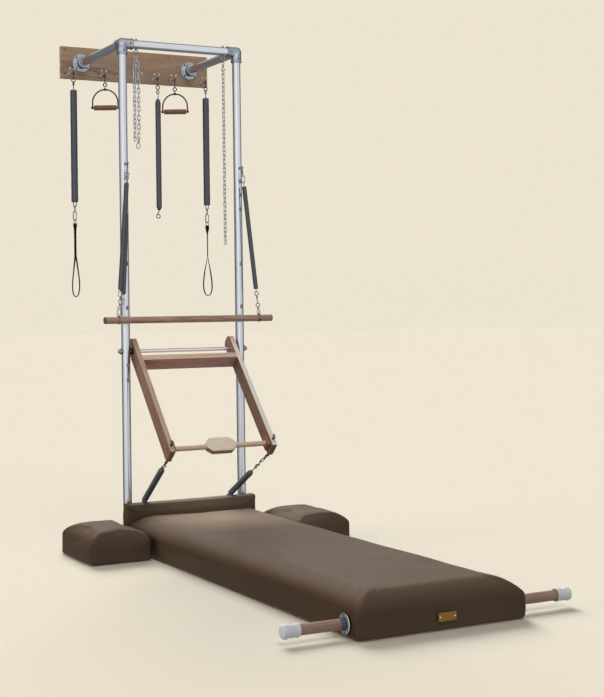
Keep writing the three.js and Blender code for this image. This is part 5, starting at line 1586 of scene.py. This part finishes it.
def mat_pad():
    x, y, z = (-MAT_HALF + 0.4, MAT_HALF - 0.4), (MAT_FOOT + 0.8, MAT_HEAD - 1.5), (0.8, MAT_TOP - 2)
    obj = pillow_shell("mat_cushion", x, y, z, 80, 100, 9, 4)
    remesh(obj, 0.009)
    co = tower_points(obj)
    co = set_dome(co, x, y, 80, MAT_TOP - 2, (100, 100, 100, 46))
    co = bulge(co, x, y, z, 1.5, 2.0)
    set_tower_points(obj, co)
    hold = np.clip((14 - co[:, 2]) / 10, 0, 1)
    inflate(obj, 4.0, 0.0055, 1.0, hold)
    co = tower_points(obj)
    co = square_up(co, x, y, 8.0)
    w = np.clip((co[:, 2] - 20) / 60, 0, 1)
    co[:, 2] += 1.6 * w * slow_noise(co, 0.006, 3.3)
    # pull in the cover at the head end, and faint dents from use
    fold = np.exp(-((co[:, 1] - (MAT_HEAD - 92) - 0.10 * (co[:, 0] + 120)) / 15.0) ** 2) * np.exp(-((co[:, 0] + 150) / 95.0) ** 4)
    co[:, 2] -= 4.2 * fold * np.clip((co[:, 2] - 90) / 25, 0, 1)
    rise = np.exp(-((co[:, 1] - (MAT_HEAD - 60) - 0.10 * (co[:, 0] + 120)) / 18.0) ** 2) * np.exp(-((co[:, 0] + 150) / 110.0) ** 4)
    co[:, 2] += 2.0 * rise * np.clip((co[:, 2] - 90) / 25, 0, 1)
    co[:, 2] = np.maximum(co[:, 2], 0.6)
    set_tower_points(obj, co)
    # room for the plywood base and the dowel
    M = Mesh()
    y0, y1 = MAT_FOOT + 13.4, MAT_HEAD - 13.4
    M.prism([(-298.5, y0), (298.5, y0), (298.5, y1), (-298.5, y1)], 2, -8, 88.6, MAT["vinyl"])
    cut = [M.build("mat_base_room", None)]
    M = Mesh()
    M.lathe((-360, DOWEL_Y, DOWEL_Z), (360, DOWEL_Y, DOWEL_Z), [(0, 0), (DOWEL_R + 0.7, 0), (DOWEL_R + 0.7, 720), (0, 720)], MAT["vinyl"], 32)
    cut.append(M.build("mat_dowel_room", None))
    mod = obj.modifiers.new("fine", "SUBSURF")
    mod.levels = mod.render_levels = 1
    apply_modifier(obj, mod)
    carve(obj, cut)
    for poly in obj.data.polygons:
        poly.use_smooth = True
    me = obj.data
    bm = bmesh.new()
    bm.from_mesh(me)
    for e in bm.edges:
        e.smooth = not (len(e.link_faces) == 2 and e.calc_face_angle(0) > math.radians(50))
    bm.to_mesh(me)
    bm.free()
    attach(obj, ROOT)
    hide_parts("mat_pad")
    # sewn corners, their seams in the dark seam shade
    S = Mesh()
    for sx in (-1, 1):
        for yy, sy in ((MAT_FOOT, 1), (MAT_HEAD, -1)):
            c = 3.5
            pts = [(sx * (MAT_HALF - c), yy + sy * c, 6), (sx * (MAT_HALF - c), yy + sy * c, 40), (sx * (MAT_HALF - c), yy + sy * c, 84), (sx * (MAT_HALF - c - 3), yy + sy * (c + 3), 94), (sx * (MAT_HALF - c - 14), yy + sy * (c + 14), 101)]
            seam_line(S, obj, pts, 1.0, 0.5, mat=MAT["seam"])
    S.build("mat_corner_seams", ROOT, 60, ())
    return obj


def headboard():
    x, y, z = (-320 + 1.5, 307 - 1.5), (-100 + 3.5, -47), (0.8, 194 - 1.5)
    obj = pad_shell("headboard_cushion", x, y, z, (10, 8), 9, 3, 8)
    remesh(obj, 0.005)
    co = tower_points(obj)
    # front face full, more so toward the top; the corners stay pinched like ears
    u = np.clip(np.abs(co[:, 0] + 6.5) / 312, 0, 1)
    w = np.clip(co[:, 2] / 194, 0, 1)
    front = np.clip((-60 - co[:, 1]) / 30, 0, 1)
    co[:, 1] -= front * 3.0 * (1 - u ** 6) * np.sin(np.clip(w, 0, 1) * math.pi) ** 0.6
    co[:, 2] -= 3.5 * (1 - u ** 10) * np.clip((w - 0.8) / 0.2, 0, 1)
    co[:, 2] += 1.2 * np.clip((w - 0.8) / 0.2, 0, 1)
    set_tower_points(obj, co)
    back = np.clip((co[:, 1] + 52) / 4, 0, 1)
    hold = np.maximum(back, np.clip((14 - co[:, 2]) / 10, 0, 1))
    inflate(obj, 4.0, 0.0050, 1.0, hold)
    co = tower_points(obj)
    front = np.clip((-60 - co[:, 1]) / 30, 0, 1)
    co[:, 1] += front * 0.7 * slow_noise(co, 0.02, 5.1)
    co[:, 1] = np.clip(co[:, 1], MAT_HEAD + 0.4 - 3.0, -46.6)
    set_tower_points(obj, co)
    subdivide(obj)
    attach(obj, ROOT)
    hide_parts("headboard_pad")
    S = Mesh()
    for sx in (-1, 1):
        pts = [(-6.5 + sx * q, -93, h) for q, h in ((312, 6), (312, 90), (312, 174), (309, 188), (301, 192))]
        seam_line(S, obj, pts, 0.8, 0.5)
    pts = [(q, -52, 192) for q in (-313, -150, 0, 150, 300)]
    seam_line(S, obj, pts, 0.8, 0.5)
    S.build("headboard_seams", ROOT, 60, ())


def side_box(side):
    body = f"side_box_{side}"
    lo, hi = CAD[body]
    x, y, z = (lo[0] + 1.2, hi[0] - 1.2), (lo[1] + 1.2, hi[1] - 1.2), (0.6, 127 - 3)
    seed = 2.0 if side == "left" else 7.0
    obj = pillow_shell(f"{body}_cushion", x, y, z, 82, 70, 7, 3)
    remesh(obj, 0.005)
    co = tower_points(obj)
    co = set_dome(co, x, y, 82, 124, (70, 70, 70, 70))
    co = bulge(co, x, y, z, 1.5, 3.0)
    set_tower_points(obj, co)
    hold = np.clip((12 - co[:, 2]) / 8, 0, 1)
    inflate(obj, 4.0, 0.006, 1.0, hold)
    co = tower_points(obj)
    # slack pleats fanning from the upper corners
    for i, cx in enumerate(x):
        for j, cy in enumerate(y):
            dx, dy = (co[:, 0] - cx), (co[:, 1] - cy)
            d = np.hypot(dx, dy)
            ang = np.arctan2(np.abs(dy), np.abs(dx))
            ph = seed + 1.7 * i + 2.9 * j
            w = np.clip((co[:, 2] - 60) / 30, 0, 1) * np.exp(-((d - 62) / 38.0) ** 2)
            co[:, 2] += 1.5 * w * np.sin(ang * 9 + ph)
    w = np.clip((co[:, 2] - 60) / 40, 0, 1)
    co[:, 2] += 1.4 * w * slow_noise(co, 0.016, seed)
    long_fold = np.exp(-((co[:, 1] - (y[0] + 58) - 0.06 * (co[:, 0] - x[0])) / 12.0) ** 2) * np.clip((co[:, 2] - 80) / 20, 0, 1)
    u = (2 * co[:, 0] - x[0] - x[1]) / (x[1] - x[0])
    co[:, 2] -= 1.8 * long_fold * (1 - np.clip(np.abs(u), 0, 1) ** 4)
    co[:, 2] = np.maximum(co[:, 2], 0.4)
    set_tower_points(obj, co)
    subdivide(obj)
    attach(obj, body)
    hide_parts(body)
    S = Mesh()
    for cx, sx in ((lo[0], 1), (hi[0], -1)):
        for cy, sy in ((lo[1], 1), (hi[1], -1)):
            pts = [(cx + sx * 3, cy + sy * 3, 5), (cx + sx * 3, cy + sy * 3, 40), (cx + sx * 3, cy + sy * 3, 76), (cx + sx * 6, cy + sy * 6, 85), (cx + sx * 20, cy + sy * 20, 94)]
            seam_line(S, obj, pts, 1.0, 0.45, mat=MAT["seam"])
            stitches(S, obj, [(cx + sx * 3, cy + sy * 9, 12), (cx + sx * 3, cy + sy * 9, 40), (cx + sx * 4, cy + sy * 9, 66)])
    S.build(f"{body}_seams", body, 60, ())


CAD = {}
for n_ in ("side_box_left", "side_box_right"):
    a_, b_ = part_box(n_)
    CAD[n_] = (np.array(a_) * 1000 - np.array([0, FY, 0]), np.array(b_) * 1000 - np.array([0, FY, 0]))
mat_pad()
headboard()
side_box("left")
side_box("right")
for n_ in ("mat_base",):
    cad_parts[n_].data.materials.clear()
    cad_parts[n_].data.materials.append(MAT["ply"])


# ------------------------------------------------------------------ foot dowel
def foot_dowel():
    M = Mesh()
    M.lathe((-534, DOWEL_Y, DOWEL_Z), (554, DOWEL_Y, DOWEL_Z), [(0, 0), (DOWEL_R - 1, 0), (DOWEL_R, 1), (DOWEL_R, 1087), (DOWEL_R - 1, 1088), (0, 1088)], MAT["low_x"], 44)
    M.build("foot_dowel_rod", "foot_dowel", 40, ["foot_dowel"])
    for side, s, end in (("left", -1, -534.3), ("right", 1, 554.3)):
        T = Mesh()
        r = DOWEL_R + 0.4
        prof = [(0, 5.2), (9, 5.4), (12, 6.0), (16, 5.0), (20.5, 2.6), (22.6, 0), (23.3, -4), (23.4, -10), (22.4, -13.5), (21.0, -15.5), (20.7, -20), (20.9, -21), (20.9, -24), (20.6, -25.5), (20.6, -43), (21.2, -44.5),
                (22.3, -46), (22.4, -52), (21.8, -53.6), (21.3, -54), (DOWEL_R + 2.7, -54), (DOWEL_R + 2.5, -53.6), (DOWEL_R + 2.5, -44.6), (r, -44.2), (r, -0.2), (0, -0.2)]
        T.lathe((end, DOWEL_Y, DOWEL_Z), (end + s, DOWEL_Y, DOWEL_Z), prof[::-1], MAT["tip"], 44)
        for k in range(12):  # grip ribs along the neck
            t = math.pi * 2 * k / 12
            c = np.array([0, math.cos(t), math.sin(t)])
            o = np.array([end, DOWEL_Y, DOWEL_Z]) + c * 20.6
            T.sweep([o - np.array([s * 26, 0, 0]), o - np.array([s * 30, 0, 0]), o - np.array([s * 39, 0, 0]), o - np.array([s * 43, 0, 0])], [0.5, 1.1, 1.1, 0.5], MAT["tip"], 7)
        T.build(f"dowel_tip_{side}_cap", "foot_dowel", 40, [f"dowel_tip_{side}"])
        C = Mesh()
        a = np.array([s * (MAT_HALF + 0.3), DOWEL_Y, DOWEL_Z])
        r = DOWEL_R + 0.6
        C.lathe(a, a + np.array([s, 0, 0]), [(r + 3.2, 0), (32.4, 0), (33, 0.7), (33, 1.6), (32.2, 2.6), (30.5, 3.0), (24, 3.2), (r + 3.2, 3.2)], MAT["collar"], 52, True)
        C.lathe(a, a + np.array([s, 0, 0]), [(r, 0), (r + 3.1, 0), (r + 3.1, 3.3), (r + 4.0, 3.4), (r + 3.8, 4.6), (r + 1.4, 5.6), (r + 1.2, 19.2), (r + 0.7, 20.0), (r, 20.0)], MAT["bush"], 44, True)
        for deg in (84, 264):
            t = math.radians(deg)
            o = a + np.array([s * 3.0, 28.0 * math.cos(t), 28.0 * math.sin(t)])
            screw_head(C, o, (s, 0, 0), 3.4, MAT["screw"])
        C.build(f"dowel_collar_{side}_plate", ROOT, 40, [f"dowel_collar_{side}"])


MAT["collar"] = metal("bright_plate", (0.62, 0.63, 0.70), (0.78, 0.80, 0.88), (0.30, 0.42), 80.0, (1, 1, 1), 0.06)
foot_dowel()


def badge():
    lo, hi = (np.array(v) * 1000 - np.array([0, FY, 0]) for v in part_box("badge_plate"))
    M = Mesh()
    M.prism(round_rect(lo[0], hi[0], lo[2], hi[2], 2.4, 5), 1, lo[1], hi[1], MAT["brass"], 0.45)
    zc = (lo[2] + hi[2]) / 2
    # raised rim, bare field inside it, a screw at each end
    t = 1.2
    rim = spline(np.array([(a, lo[1] + 0.1, b) for a, b in round_rect(lo[0] + 3, hi[0] - 3, lo[2] + 3, hi[2] - 3, 2.0, 4)]), 1, True)
    M.sweep(rim, 0.45, MAT["brass"], 8, True)
    for xx in (lo[0] + 6.8, hi[0] - 6.8):
        M.lathe((xx, lo[1] + 0.3, zc), (xx, lo[1] - 5, zc), [(0, 0), (2.7, 0), (2.7, 0.6), (2.2, 1.3), (1.0, 1.6), (0, 1.65)], MAT["collar"], 20)
    M.build("badge_bare", ROOT, 40, ["badge_plate"])


badge()


# ------------------------------------------------------------------ floor, backdrop and lights
def stage():
    sc = bpy.context.scene
    sc.view_settings.view_transform = "Standard"
    sc.view_settings.look = "None"
    cream = (0.840, 0.775, 0.640)
    me = bpy.data.meshes.new("floor")
    R = 120.0
    me.from_pydata([(-R, -R, 0), (R, -R, 0), (R, R, 0), (-R, R, 0)], [], [(0, 1, 2, 3)])
    floor = bpy.data.objects.new("floor", me)
    sc.collection.objects.link(floor)
    m, nt, b = new_material("pale_floor")
    b.inputs["Base Color"].default_value = (0.594, 0.557, 0.470, 1)
    b.inputs["Roughness"].default_value = 0.95
    b.inputs["Specular IOR Level"].default_value = 0.0
    me.materials.append(m)
    # ring of evenly lit paper far behind everything
    n = 96
    v, f = [], []
    for i in range(n):
        t = 2 * math.pi * i / n
        v += [(55 * math.cos(t), 55 * math.sin(t), -0.5), (55 * math.cos(t), 55 * math.sin(t), 18)]
    for i in range(n):
        j = (i + 1) % n
        f.append((2 * i, 2 * i + 1, 2 * j + 1, 2 * j))
    me = bpy.data.meshes.new("backdrop")
    me.from_pydata(v, [], f)
    back = bpy.data.objects.new("backdrop", me)
    sc.collection.objects.link(back)
    m, nt, b = new_material("pale_backdrop")
    b.inputs["Base Color"].default_value = (0, 0, 0, 1)
    b.inputs["Specular IOR Level"].default_value = 0.0
    b.inputs["Emission Color"].default_value = (*cream, 1)
    b.inputs["Emission Strength"].default_value = 1.0
    me.materials.append(m)
    # pale studio shell: bright on the side of the doorway, dim behind the tower; it shows in gloss only
    R, rows, cols = 34.0, 16, 32
    v = [(0, 0, -R)] + [(R * math.sin(math.pi * i / rows) * math.cos(2 * math.pi * j / cols), R * math.sin(math.pi * i / rows) * math.sin(2 * math.pi * j / cols), -R * math.cos(math.pi * i / rows)) for i in range(1, rows) for j in range(cols)] + [(0, 0, R)]
    at = lambda i, j: 1 + (i - 1) * cols + j % cols
    f = [(0, at(1, j + 1), at(1, j)) for j in range(cols)] + [(at(i, j), at(i, j + 1), at(i + 1, j + 1), at(i + 1, j)) for i in range(1, rows - 1) for j in range(cols)] + [(at(rows - 1, j), at(rows - 1, j + 1), len(v) - 1) for j in range(cols)]
    me = bpy.data.meshes.new("shell")
    me.from_pydata(v, [], f)
    shell = bpy.data.objects.new("shell", me)
    sc.collection.objects.link(shell)
    m, nt, b = new_material("pale_shell")
    tc = nt.nodes.new("ShaderNodeTexCoord")
    dot = nt.nodes.new("ShaderNodeVectorMath")
    dot.operation = "DOT_PRODUCT"
    dot.inputs[1].default_value = (-0.28 / R, -0.90 / R, 0.33 / R)
    nt.links.new(tc.outputs["Object"], dot.inputs[0])
    rise = nt.nodes.new("ShaderNodeMapRange")
    rise.interpolation_type = "SMOOTHSTEP"
    rise.inputs["From Min"].default_value = -0.12
    rise.inputs["From Max"].default_value = 0.34
    nt.links.new(dot.outputs["Value"], rise.inputs["Value"])
    tone = ramp(nt, rise.outputs["Result"], [(0.0, (0.22, 0.222, 0.226)), (1.0, (0.92, 0.925, 0.93))])
    b.inputs["Base Color"].default_value = (0, 0, 0, 1)
    b.inputs["Specular IOR Level"].default_value = 0.0
    nt.links.new(tone, b.inputs["Emission Color"])
    b.inputs["Emission Strength"].default_value = 1.0
    me.materials.append(m)
    for ray in ("camera", "diffuse", "transmission", "volume_scatter", "shadow"):
        setattr(shell, "visible_" + ray, False)
    # the floor takes light and shadow, and throws none back
    floor.visible_glossy = False
    floor.visible_diffuse = False
    # the backdrop is only the picture's ground: it lights nothing and shows in no gloss
    for ray in ("diffuse", "glossy", "transmission", "volume_scatter", "shadow"):
        setattr(back, "visible_" + ray, False)
    w = bpy.data.worlds.new("studio")
    sc.world = w
    w.use_nodes = True
    nt = w.node_tree
    bg = nt.nodes["Background"]
    bg.inputs["Strength"].default_value = 1.0
    tc = nt.nodes.new("ShaderNodeTexCoord")
    sep = nt.nodes.new("ShaderNodeSeparateXYZ")
    nt.links.new(tc.outputs["Generated"], sep.inputs[0])
    # dim room above, the pale floor's light below
    high = nt.nodes.new("ShaderNodeMapRange")
    high.inputs["From Min"].default_value = -1.0
    nt.links.new(sep.outputs["Z"], high.inputs["Value"])
    col = ramp(nt, high.outputs["Result"], [(0.0, (0.45, 0.435, 0.41)), (0.47, (0.45, 0.435, 0.41)), (0.53, (0.15, 0.151, 0.155)), (1.0, (0.15, 0.15, 0.152))])
    nt.links.new(col, bg.inputs["Color"])

    def light(kind, name, energy, loc=(0, 0, 5), aim=(0, 0, 0), colour=(1, 1, 1), gloss_only=False, **more):
        l = bpy.data.lights.new(name, kind)
        l.energy = energy
        l.color = colour
        for k, x in more.items():
            setattr(l, k, x)
        o = bpy.data.objects.new(name, l)
        sc.collection.objects.link(o)
        o.location = loc
        o.rotation_mode = "QUATERNION"
        o.rotation_quaternion = (Vector(aim) - Vector(loc)).to_track_quat("-Z", "Y")
        o.visible_camera = False
        if gloss_only:
            o.visible_diffuse = False
        return o

    # broad soft keys that only shade: one from behind on the right, one from the front above, a weak one from the left
    light("SUN", "key_back", 4.9, (0.9, 3.6, 2.4), (0, 0, 0), (1.0, 0.985, 0.965), angle=math.radians(30)).visible_glossy = False
    light("SUN", "key_left", 1.25, (-3.0, 0.9, 0.8), (0, 0, 0), (1.0, 0.90, 0.76), angle=math.radians(30)).visible_glossy = False
    light("SUN", "key_front", 1.25, (0.1, -3.0, 5.5), (0, 0, 0), (1.0, 0.985, 0.96), angle=math.radians(40)).visible_glossy = False
    # cards that only shine: a wide one behind the camera and one low behind for the sheen on the mat
    light("AREA", "streak_card", 55.0, (-5.4, -7.6, 2.6), (0, 0.3, 1.2), (0.95, 0.975, 1.0), True, shape="RECTANGLE", size=9.0, size_y=5.5)
    light("AREA", "sheen_card", 36.0, (2.6, 6.4, 3.3), (0.2, -0.4, 0.2), (1.0, 0.93, 0.84), True, shape="RECTANGLE", size=6.0, size_y=3.4)


stage()
